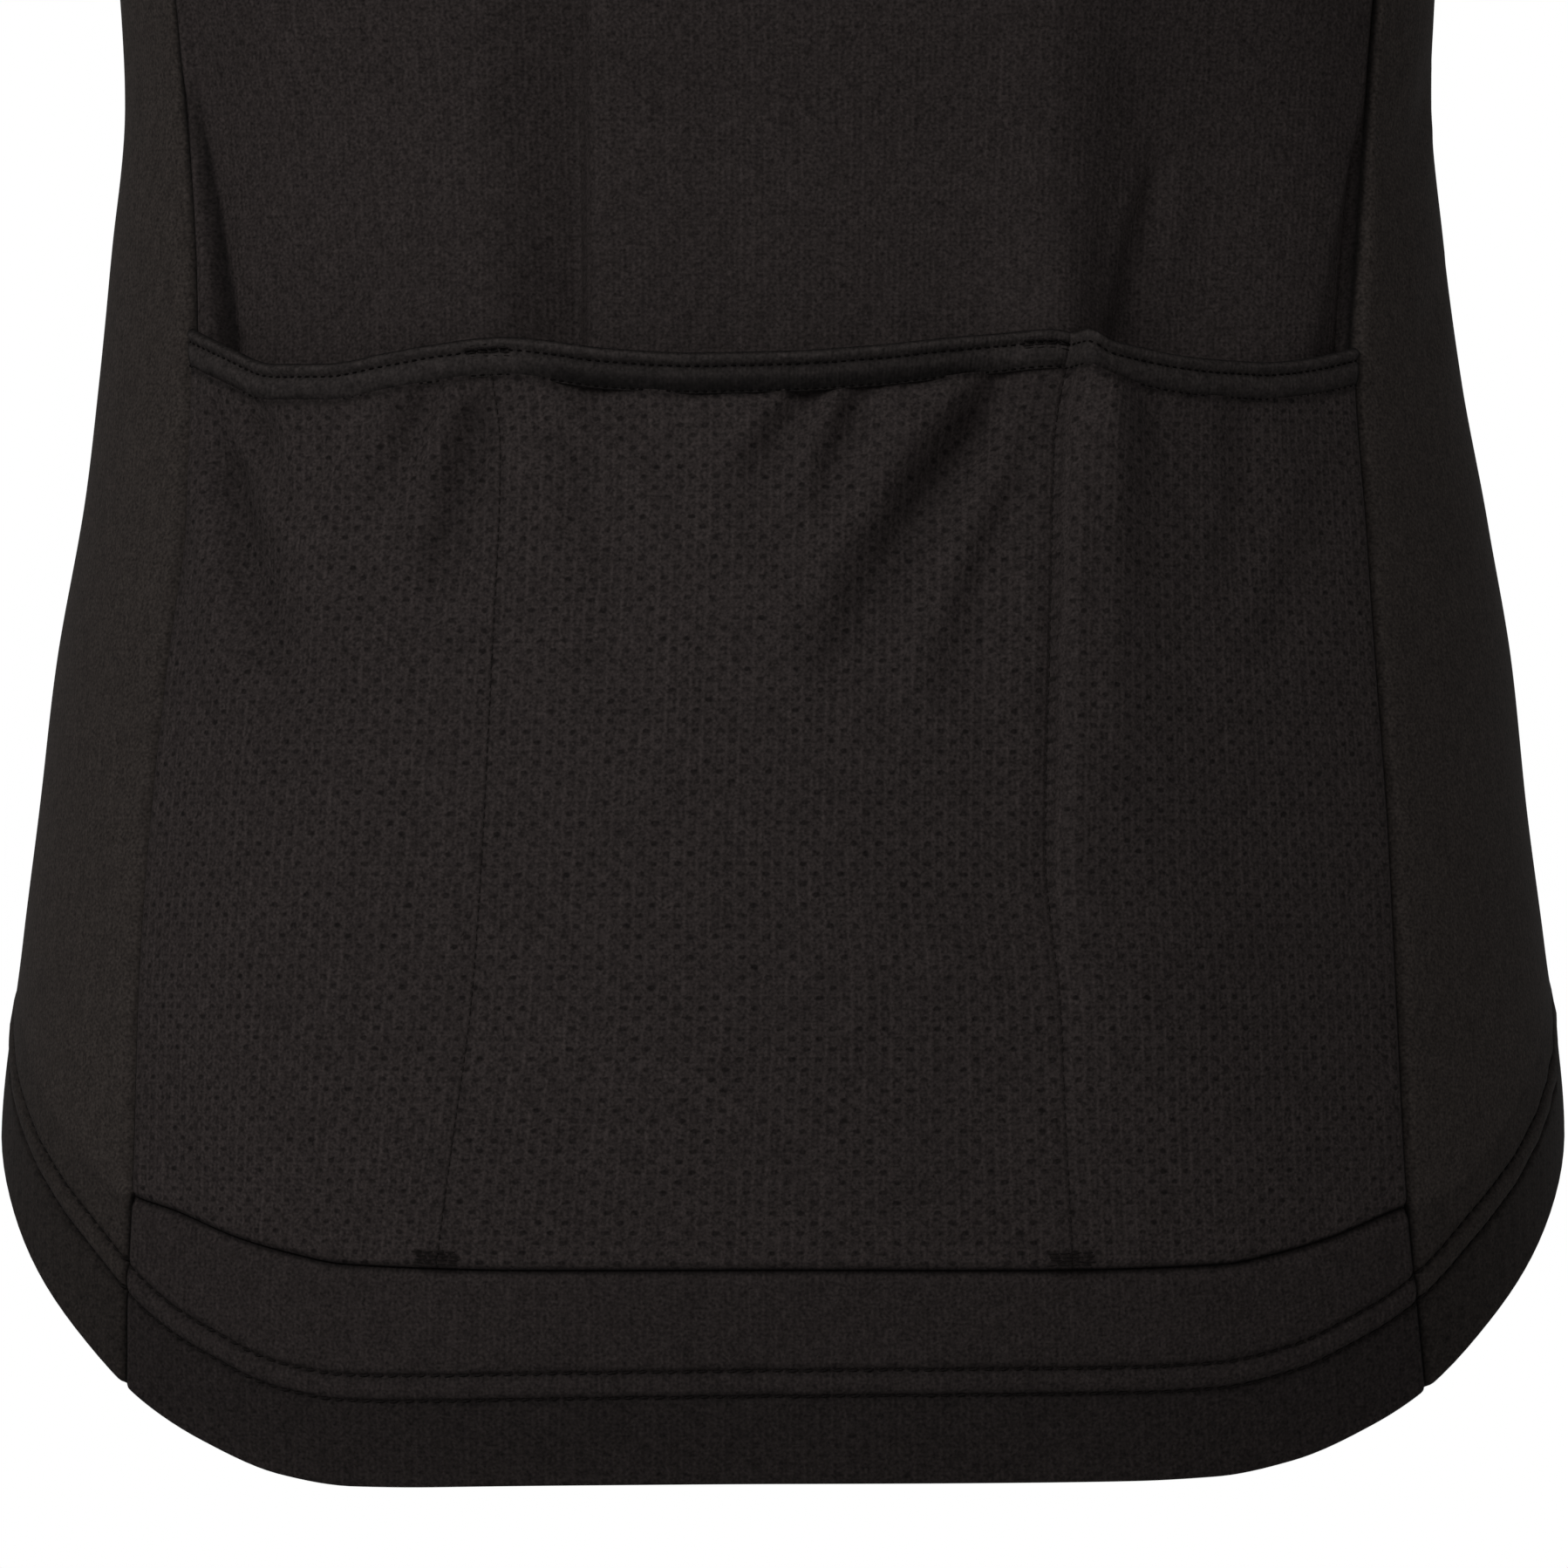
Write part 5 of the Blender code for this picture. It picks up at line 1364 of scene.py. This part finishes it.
def zip_line(side):
    """The cloth's outer face beside the zip, from the hem up into the collar.

    Gives its points, unit vectors into the body and the depths at which the tape lies.
    """
    low = float(hem_drop(180.0))
    foot = neckline(np.array([180.0]), side)[0]
    drop = np.linspace(low, -foot[2] + 1.0, ZIP_STEPS)
    body = on_torso(np.full(ZIP_STEPS, side * ZIP_HALF_GAP), drop, -1)
    heights = np.linspace(0, ZIP_TOP, COLLAR_STEPS)
    stand, flat = collar_point(np.full(COLLAR_STEPS, ZIP_TURN), side, heights)
    line = np.concatenate([body, stand])
    into = unit(window_sum(-np.concatenate([outward(body), flat]) * (0, 1, 1)))
    wall = np.concatenate([body_wall(drop, 180.0), np.full(COLLAR_STEPS, COLLAR_WALL)])
    return line, into, window_sum(wall) / (2 * SMOOTH_ROWS + 1) + LAY_GAP


def zip_tape(side, line, into, depth):
    """Half of the zip's tape: a woven strip behind the front's edge, with a corded edge."""
    x = np.array(TAPE_COLUMNS)
    edge_inset, wall = rounded(TAPE_REACH - x, TAPE_WALL)
    level = line[:, None] * (0, 1, 1) + np.stack([side * x, 0 * x, 0 * x], 1)[None]
    outer = level + into[:, None] * (depth[:, None] + edge_inset[None])[..., None]
    inner = outer + into[:, None] * wall[None, :, None]
    return make_wall("zip_tape_cloth", outer, inner, x[None] * MM, arc_along(line)[:, None] * MM)


def tooth_shape():
    """Points and faces of one tooth of the coil: a bar with a thicker, rounded head."""
    length, thick, deep, round_off = TOOTH
    bpy.ops.object.select_all(action="DESELECT")
    bpy.ops.mesh.primitive_cube_add(size=1)
    tooth = bpy.context.object
    tooth.scale = (length, thick, deep)
    bpy.ops.object.transform_apply(location=False, rotation=False, scale=True)
    bpy.ops.object.mode_set(mode="EDIT")
    bpy.ops.mesh.select_all(action="SELECT")
    bpy.ops.mesh.bevel(offset=round_off, segments=1, affect="EDGES")
    bpy.ops.object.mode_set(mode="OBJECT")
    shape = np.array([tuple(vertex.co) for vertex in tooth.data.vertices])
    shape[:, 1] *= np.where(shape[:, 0] < 0, *TOOTH_TAPER)
    faces = [tuple(face.vertices) for face in tooth.data.polygons]
    bpy.data.objects.remove(tooth)
    return shape, faces


def zip_coil(side, line, into, shape, faces):
    """The teeth of one half of the zip; those of the two halves lie between each other."""
    start = 0.0 if side > 0 else TOOTH_PITCH / 2
    place, along, out = along_path(line, -into, TOOTH_PITCH, start)
    place[:, 0] = side * TOOTH_MIDDLE
    across = np.cross(out, along)
    across *= np.sign(across[:, :1]) * side
    place = place - out * TOOTH_DEPTH
    upward = np.cross(out, across)
    mesh = copies("zip_coil", shape, faces, place, across, upward, out)
    mesh.set_sharp_from_angle(angle=math.radians(50))
    return mesh


# ---------------------------------------------------------------- materials

class Nodes:
    """Shorthand for building a material's nodes."""

    def __init__(self, name, roughness, specular, sheen=0.0):
        self.material = bpy.data.materials.new(name)
        self.material.use_nodes = True
        self.tree = self.material.node_tree
        self.shader = self.tree.nodes["Principled BSDF"]
        self.shader.inputs["Roughness"].default_value = roughness
        self.shader.inputs["Specular IOR Level"].default_value = specular
        self.shader.inputs["Sheen Weight"].default_value = sheen

    def fill(self, socket, value):
        if isinstance(value, bpy.types.NodeSocket):
            self.tree.links.new(value, socket)
        else:
            socket.default_value = value

    def add(self, kind, inputs=(), output=0, **settings):
        node = self.tree.nodes.new("ShaderNode" + kind)
        for key, value in settings.items():
            setattr(node, key, value)
        named = inputs.items() if isinstance(inputs, dict) else enumerate(inputs)
        for key, value in named:
            self.fill(node.inputs[key], value)
        return node.outputs[output]

    def math(self, operation, *values):
        return self.add("Math", values, operation=operation)

    def times(self, value, *others):
        """Product of several values."""
        for other in others:
            value = self.math("MULTIPLY", value, other)
        return value

    def weighted(self, *pairs):
        """Sum of values, each times its weight."""
        total = 0.0
        for value, weight in pairs:
            total = self.math("MULTIPLY_ADD", value, weight, total)
        return total

    def wave(self, value, length):
        return self.math("COSINE", self.math("MULTIPLY", value, 2 * math.pi / length))

    def attribute(self, name):
        return self.add("Attribute", output="Fac", attribute_name=name)

    def uv(self):
        place = self.add("UVMap", uv_map="cloth")
        parts = self.tree.nodes.new("ShaderNodeSeparateXYZ")
        self.tree.links.new(place, parts.inputs[0])
        return parts.outputs[0], parts.outputs[1]

    def noise(self, scale, detail=2.0, stretch=None):
        place = self.add("TexCoord", output="Object")
        if stretch:
            place = self.add("VectorMath", (place, stretch), operation="MULTIPLY")
        return self.add("TexNoise", {"Vector": place, "Scale": scale, "Detail": detail})

    def range(self, value, low, high, to_low=0.0, to_high=1.0):
        return self.add("MapRange", (value, low, high, to_low, to_high), clamp=True)

    def finish(self, color, shade, height, depth, roughness=None):
        """Colour times a shade, and a bump whose height of 1 stands for a depth in metres."""
        tint = self.add("VectorMath", (color, shade), operation="MULTIPLY")
        self.tree.links.new(tint, self.shader.inputs["Base Color"])
        if roughness is not None:
            self.tree.links.new(roughness, self.shader.inputs["Roughness"])
        normal = self.add("Bump", {"Height": height, "Distance": depth, "Strength": 1.0})
        self.tree.links.new(normal, self.shader.inputs["Normal"])
        return self.material


# All in metres
KNIT_RELIEF = 0.00009      # depth of the knit's bumps
WEAVE_RELIEF = 0.00006     # of the tape's and the threads'
PLASTIC_RELIEF = 0.00002   # of the plastic's
COURSE = 0.00085           # height of a row of the knit
PINHOLES = (0.0052, 0.00215)         # distances across and up from one pinhole to the next
PINHOLE_HALF = (0.00068, 0.0005)     # half width and half height of one
RIB = 0.0026               # width of the mesh's ribs
ELASTIC_RIB = 0.0009       # of the elastic's
TWILL = 0.0009             # of the tape's twill
HERRINGBONE = 0.003        # width over which the twill turns back


def pinholes(nodes, u, v):
    """1 inside small oval holes in staggered rows, 0 between them."""
    across, up = PINHOLES
    half_u, half_v = PINHOLE_HALF
    row = nodes.math("DIVIDE", v, up)
    odd = nodes.times(nodes.math("FLOORED_MODULO", nodes.math("FLOOR", row), 2.0), 0.5)
    column = nodes.math("ADD", nodes.math("DIVIDE", u, across), odd)
    squares = []
    for place, scale in ((column, across / half_u), (row, up / half_v)):
        off = nodes.times(nodes.math("SUBTRACT", nodes.math("FRACT", place), 0.5), scale)
        squares.append(nodes.math("POWER", nodes.math("ABSOLUTE", off), 2.0))
    return nodes.range(nodes.math("ADD", *squares), 0.35, 1.7, 1.0, 0.0)


def knit(name, color, wale=0.0013, ribs=0.25):
    """Knitted cloth: fine wales, courses and mottling, with pinholes where the cloth has them."""
    nodes = Nodes(name, 0.85, 0.06)
    u, v = nodes.uv()
    grain = nodes.noise(1500.0)
    mottle = nodes.noise(420.0, 3.0, (1.0, 1.0, 0.45))
    patches = nodes.noise(22.0)
    wales, courses = nodes.wave(u, wale), nodes.wave(v, COURSE)
    where_open = nodes.attribute("holes")
    openness = nodes.range(nodes.noise(160.0, 3.0), 0.3, 0.7, 0.4, 1.0)
    holes = nodes.times(pinholes(nodes, u, v), where_open, openness)
    rib = nodes.times(nodes.wave(u, RIB), where_open)
    # The attribute read below brings in painted shade and the dark of stitched seams
    shade = nodes.times(nodes.range(grain, 0.25, 0.75, 0.4, 1.6),
                        nodes.range(mottle, 0.3, 0.7, 0.87, 1.13),
                        nodes.range(patches, 0.3, 0.7, 0.97, 1.03),
                        nodes.range(wales, -1.0, 1.0, 1 - ribs * 0.3, 1 + ribs * 0.3),
                        nodes.attribute("stitches_and_shade"),
                        nodes.range(holes, 0.0, 1.0, 1.0, 0.36),
                        nodes.range(rib, -1.0, 1.0, 1.04, 0.96))
    height = nodes.weighted((wales, ribs), (courses, 0.12), (grain, 0.9), (holes, -2.2),
                            (rib, -0.15))
    return nodes.finish(color, shade, height, KNIT_RELIEF)


def elastic(name, color):
    """Elastic edging: tight crosswise ribs with a slight shine."""
    nodes = Nodes(name, 0.8, 0.06)
    u, _ = nodes.uv()
    ribs = nodes.wave(u, ELASTIC_RIB)
    grain = nodes.noise(1400.0)
    # The attribute read below brings in painted shade and the dark of stitched seams
    shade = nodes.times(nodes.range(grain, 0.25, 0.75, 0.5, 1.5),
                        nodes.range(nodes.noise(500.0, 3.0), 0.3, 0.7, 0.75, 1.25),
                        nodes.range(ribs, -1.0, 1.0, 0.96, 1.04), nodes.attribute("stitches_and_shade"))
    return nodes.finish(color, shade, nodes.weighted((ribs, 0.25), (grain, 1.0)), KNIT_RELIEF)


def woven_tape(name, color):
    """Zip tape: a fine herringbone."""
    nodes = Nodes(name, 0.7, 0.25, 0.1)
    u, v = nodes.uv()
    fold = nodes.math("FRACT", nodes.math("DIVIDE", u, HERRINGBONE))
    fold = nodes.math("ABSOLUTE", nodes.math("SUBTRACT", fold, 0.5))
    twill = nodes.wave(nodes.weighted((fold, HERRINGBONE), (v, 1.0)), TWILL)
    shade = nodes.times(nodes.range(nodes.noise(1500.0), 0.25, 0.75, 0.8, 1.2),
                        nodes.range(twill, -1.0, 1.0, 0.85, 1.15))
    return nodes.finish(color, shade, twill, WEAVE_RELIEF)


def thread(name, color):
    """Twisted sewing thread."""
    nodes = Nodes(name, 0.85, 0.03)
    grain = nodes.noise(2600.0, 1.0)
    shade = nodes.range(grain, 0.3, 0.7, 0.7, 1.3)
    return nodes.finish(color, shade, grain, WEAVE_RELIEF)


def moulded(name, color, roughness):
    """Moulded plastic with a fine even grain."""
    nodes = Nodes(name, roughness, 0.45)
    grain = nodes.noise(3200.0, 2.0)
    worn = nodes.noise(260.0, 3.0)
    shade = nodes.range(worn, 0.3, 0.7, 0.85, 1.15)
    rough = nodes.range(worn, 0.3, 0.7, roughness - 0.06, roughness + 0.08)
    return nodes.finish(color, shade, grain, PLASTIC_RELIEF, rough)


# The looks: each material with the slot that it belongs to
MESH_KNIT = (knit("mesh_knit_look", (0.0222, 0.0179, 0.0171)), "mesh_knit")
PLAIN_KNIT = (knit("plain_knit_look", (0.0240, 0.0197, 0.0176), wale=0.0011, ribs=0.1),
              "plain_knit")
ELASTIC = (elastic("elastic_look", (0.0190, 0.0160, 0.0152)), "elastic")
TAPE = (woven_tape("zip_tape_look", (0.0120, 0.0110, 0.0106)), "zip_tape")
THREAD = (thread("thread_look", (0.0075, 0.0064, 0.0061)), "plain_knit")
FINE_THREAD = (thread("fine_thread_look", (0.0120, 0.0102, 0.0096)), "plain_knit")
DARK_THREAD = (thread("dark_thread_look", (0.0032, 0.0027, 0.0026)), "plain_knit")
PLASTIC = (moulded("zip_plastic_look", (0.014, 0.014, 0.014), 0.42), "zip_plastic")


# ---------------------------------------------------------------- stitches

# One stitch from end to end: place along it, size, height
STITCH_RINGS = ((-0.5, 0.0, -0.8), (-0.42, 0.75, -0.25), (-0.15, 1.0, 0.35), (0.15, 1.0, 0.35),
                (0.42, 0.75, -0.25), (0.5, 0.0, -0.8))
STITCH_SIDES = 5


def stitch_shape(length, half):
    """Points and faces of one stitch along x, its ends sunk into the cloth, z outwards."""
    turns = np.arange(STITCH_SIDES) * 2 * math.pi / STITCH_SIDES
    verts, faces, rings = [], [], []
    for along, size, lift in STITCH_RINGS:
        corners = turns if size else turns[:1]
        rings.append(range(len(verts), len(verts) + len(corners)))
        verts += [(along * length, size * half * math.cos(turn),
                   size * half * math.sin(turn) + lift * half) for turn in corners]
    for low, high in zip(rings, rings[1:]):
        for k in range(STITCH_SIDES):
            n = (k + 1) % STITCH_SIDES
            if len(low) == 1:
                faces.append((low[0], high[n], high[k]))
            elif len(high) == 1:
                faces.append((low[k], low[n], high[0]))
            else:
                faces.append((low[k], low[n], high[n], high[k]))
    return np.array(verts), faces


def sew(name, rows, stitch, look):
    """A piece of all the stitches along several rows; a row is a path with its normals."""
    length, half, pitch, lift, slant = stitch
    waver, rough = STITCH_WAVER
    source = np.random.default_rng(STITCH_SEED)
    found = [along_path(path, normals, pitch) for path, normals in rows]
    place, along, out = (np.concatenate(parts) for parts in zip(*found))
    across = unit(np.cross(out, along))
    out = np.cross(along, across)
    tilt = slant + source.normal(size=(len(place), 1)) * waver
    turned = along * np.cos(tilt) + across * np.sin(tilt)
    across = across * np.cos(tilt) - along * np.sin(tilt)
    place = place + out * (lift + source.normal(size=(len(place), 1)) * rough)
    add_piece(name, copies(name, *stitch_shape(length, half), place, turned, across, out), look)


def bar_tack(line, normals, middle, seed):
    """Paths of a dense block of thread along a line of the cloth, sewn to and fro."""
    arc = arc_along(line)
    off, turn = TACK_WAVER
    source = np.random.default_rng(seed)
    paths = []
    for k in range(TACK_LINES):
        center = middle + source.normal() * off
        at = np.linspace(center - TACK_LENGTH / 2, center + TACK_LENGTH / 2, TACK_POINTS)
        place, out = path_at(at, arc, line), unit(path_at(at, arc, normals))
        upward = unit(np.cross(out, place[-1] - place[0]))
        slope = np.linspace(-1, 1, TACK_POINTS)[:, None] * source.normal() * turn
        level = (k - (TACK_LINES - 1) / 2) * TACK_SPACING
        paths.append((place + upward * (level + slope), out))
    return paths


# ---------------------------------------------------------------- cut of the cloth

# The cut of each piece that shows: width, length and area in metres, and what it is sewn to
CUTS = {
    "back_panel_cloth": (0.442, 0.764, 0.236, ("side_cloth_left", "side_cloth_right",
                                               "front_cloth_left", "front_cloth_right")),
    "pocket_cloth": (0.301, 0.196, 0.0555, ("back_panel_cloth",)),
    "binding_cloth": (0.285, 0.0107, 0.00295, ("pocket_cloth",)),
    "collar_cloth": (0.468, 0.047, 0.0155, ("back_panel_cloth", "front_cloth_left",
                                            "front_cloth_right")),
}
SIDE_CUTS = {
    "front_cloth": (0.265, 0.664, 0.1005, ("side_cloth", "zip_tape_cloth")),
    "side_cloth": (0.182, 0.512, 0.0526, ("sleeve_cloth",)),
    "sleeve_cloth": (0.426, 0.256, 0.0754, ("front_cloth", "side_cloth")),
    "cuff_cloth": (0.330, 0.035, 0.0113, ("sleeve_cloth",)),
    "zip_tape_cloth": (0.0108, 0.59, 0.0063, ("front_cloth",)),
}


def declare_cuts():
    """Every sheet's cut in one table, the left and right pieces named apart; nothing uses it."""
    cuts = dict(CUTS)
    for word in ("left", "right"):
        for name, (width, length, area, sewn_to) in SIDE_CUTS.items():
            beside = tuple(other + "_" + word for other in sewn_to)
            cuts[name + "_" + word] = (width, length, area, beside)


# ---------------------------------------------------------------- putting the jersey together

def build():
    mesh, back, back_out = back_panel()
    add_piece("back_panel_cloth", mesh, MESH_KNIT, "back_panel")
    mesh, pocket, pocket_out = pocket_panel()
    add_piece("pocket_cloth", mesh, MESH_KNIT, "pocket_panel")
    mesh, binding, binding_out = pocket_binding()
    add_piece("binding_cloth", mesh, ELASTIC, "pocket_binding")
    mesh, neck, neck_out = collar()
    add_piece("collar_cloth", mesh, PLAIN_KNIT, "collar")
    tooth, tooth_faces = tooth_shape()
    hem_rows = [(back[row], back_out[row]) for row in HEM_STITCH_ROWS]
    edge_rows = []
    for side, word in ((1, "_left"), (-1, "_right")):
        mesh, grid, out = front_panel(side)
        add_piece("front_cloth" + word, mesh, MESH_KNIT, "front" + word)
        hem_rows += [(grid[row], out[row]) for row in HEM_STITCH_ROWS]
        edge_rows.append((grid[2:-3, ZIP_COLUMN], out[2:-3, ZIP_COLUMN]))
        line, into, depth = zip_line(side)
        add_piece("zip_tape_cloth" + word, zip_tape(side, line, into, depth), TAPE,
                  "zip_tape" + word)
        add_piece("zip_coil" + word, zip_coil(side, line, into, tooth, tooth_faces), PLASTIC,
                  "zip_tape" + word)
        mesh, grid, out = side_panel(side)
        add_piece("side_cloth" + word, mesh, PLAIN_KNIT, "side_panel" + word)
        hem_rows += [(grid[row], out[row]) for row in HEM_STITCH_ROWS]
        add_piece("sleeve_cloth" + word, sleeve(side), PLAIN_KNIT, "sleeve" + word)
        add_piece("cuff_cloth" + word, cuff(side), ELASTIC, "cuff" + word)
    edge_rows += [(neck[row], neck_out[row]) for row in COLLAR_ROWS]
    binding_rows = [(binding[row], binding_out[row]) for row in BINDING_ROWS]
    divider_rows = [(pocket[:, column], pocket_out[:, column])
                    for column in (LEFT_DIVIDER, RIGHT_DIVIDER)]
    tack_rows = []
    for column, aside in zip((LEFT_DIVIDER, RIGHT_DIVIDER), TACK_ASIDE):
        for line, out, off in ((binding[TACK_ROW_TOP], binding_out[TACK_ROW_TOP], aside),
                               (pocket[TACK_ROW_LOW], pocket_out[TACK_ROW_LOW], 0)):
            middle = arc_along(line)[column] + off
            tack_rows += bar_tack(line, out, middle, TACK_SEED + len(tack_rows))
    sew("edge_stitching", edge_rows, EDGE_STITCH, FINE_THREAD)
    sew("hem_stitching", hem_rows, HEM_STITCH, THREAD)
    sew("binding_stitching", binding_rows, BINDING_STITCH, DARK_THREAD)
    sew("divider_stitching", divider_rows, DIVIDER_STITCH, FINE_THREAD)
    sew("bar_tacks", tack_rows, TACK_STITCH, THREAD)
    declare_cuts()
    for name in ("zip_slider", "zip_pull"):
        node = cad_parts[name]
        node.data.materials.clear()
        node.data.materials.append(PLASTIC[0])


def add_camera():
    lens = bpy.data.cameras.new("camera")
    lens.lens = CAMERA_LENS
    lens.sensor_width = CAMERA_SENSOR
    lens.clip_end = CAMERA_END
    camera = bpy.data.objects.new("camera", lens)
    camera.location = CAMERA_AT
    camera.rotation_euler = (math.radians(90), 0, math.radians(180))
    bpy.context.scene.collection.objects.link(camera)
    bpy.context.scene.camera = camera


def add_lamp(name, turn, rise, power):
    """Soft square lamp at a turn round the jersey and a height, facing the middle of its back."""
    turn, rise = math.radians(turn), math.radians(rise)
    way = Vector((math.sin(turn) * math.cos(rise), math.cos(turn) * math.cos(rise),
                  math.sin(rise)))
    lamp = bpy.data.lights.new(name, "AREA")
    lamp.shape = "RECTANGLE"
    lamp.size, lamp.size_y = LAMP_SIZE
    lamp.energy = power
    made = bpy.data.objects.new(name, lamp)
    made.location = Vector(LIT_MIDDLE) + way * LAMP_DISTANCE
    made.rotation_euler = (-way).to_track_quat("-Z", "Y").to_euler()
    bpy.context.scene.collection.objects.link(made)


def add_studio():
    """White surround that lights less than it shows, three soft lamps and a pale floor."""
    world = bpy.data.worlds.new("studio")
    world.use_nodes = True
    tree = world.node_tree
    shown = tree.nodes["Background"]
    shown.inputs[0].default_value = (1, 1, 1, 1)
    shown.inputs[1].default_value = 1.0
    lit = tree.nodes.new("ShaderNodeBackground")
    lit.inputs[0].default_value = (1, 1, 1, 1)
    lit.inputs[1].default_value = WORLD_LIGHT
    path = tree.nodes.new("ShaderNodeLightPath")
    blend = tree.nodes.new("ShaderNodeMixShader")
    tree.links.new(path.outputs["Is Camera Ray"], blend.inputs[0])
    tree.links.new(lit.outputs[0], blend.inputs[1])
    tree.links.new(shown.outputs[0], blend.inputs[2])
    tree.links.new(blend.outputs[0], tree.nodes["World Output"].inputs[0])
    bpy.context.scene.world = world
    for name, placing in LAMPS.items():
        add_lamp(name, *placing)
    bpy.ops.mesh.primitive_plane_add(size=FLOOR_SIZE, location=(0, 0, -FLOOR_DROP))
    floor = bpy.context.object
    floor.name = "floor"
    paint = bpy.data.materials.new("floor_paint")
    paint.use_nodes = True
    tree = paint.node_tree
    surface = tree.nodes["Principled BSDF"]
    surface.inputs["Base Color"].default_value = (FLOOR_WHITE, FLOOR_WHITE, FLOOR_WHITE, 1)
    seen = tree.nodes.new("ShaderNodeLightPath")
    share = tree.nodes.new("ShaderNodeMath")
    share.operation = "MULTIPLY"
    share.inputs[1].default_value = FLOOR_GLOW
    tree.links.new(seen.outputs["Is Camera Ray"], share.inputs[0])
    surface.inputs["Emission Color"].default_value = (1, 1, 1, 1)
    tree.links.new(share.outputs[0], surface.inputs["Emission Strength"])
    floor.data.materials.append(paint)
    bpy.context.scene.view_settings.view_transform = "Standard"


add_camera()
build()
add_studio()
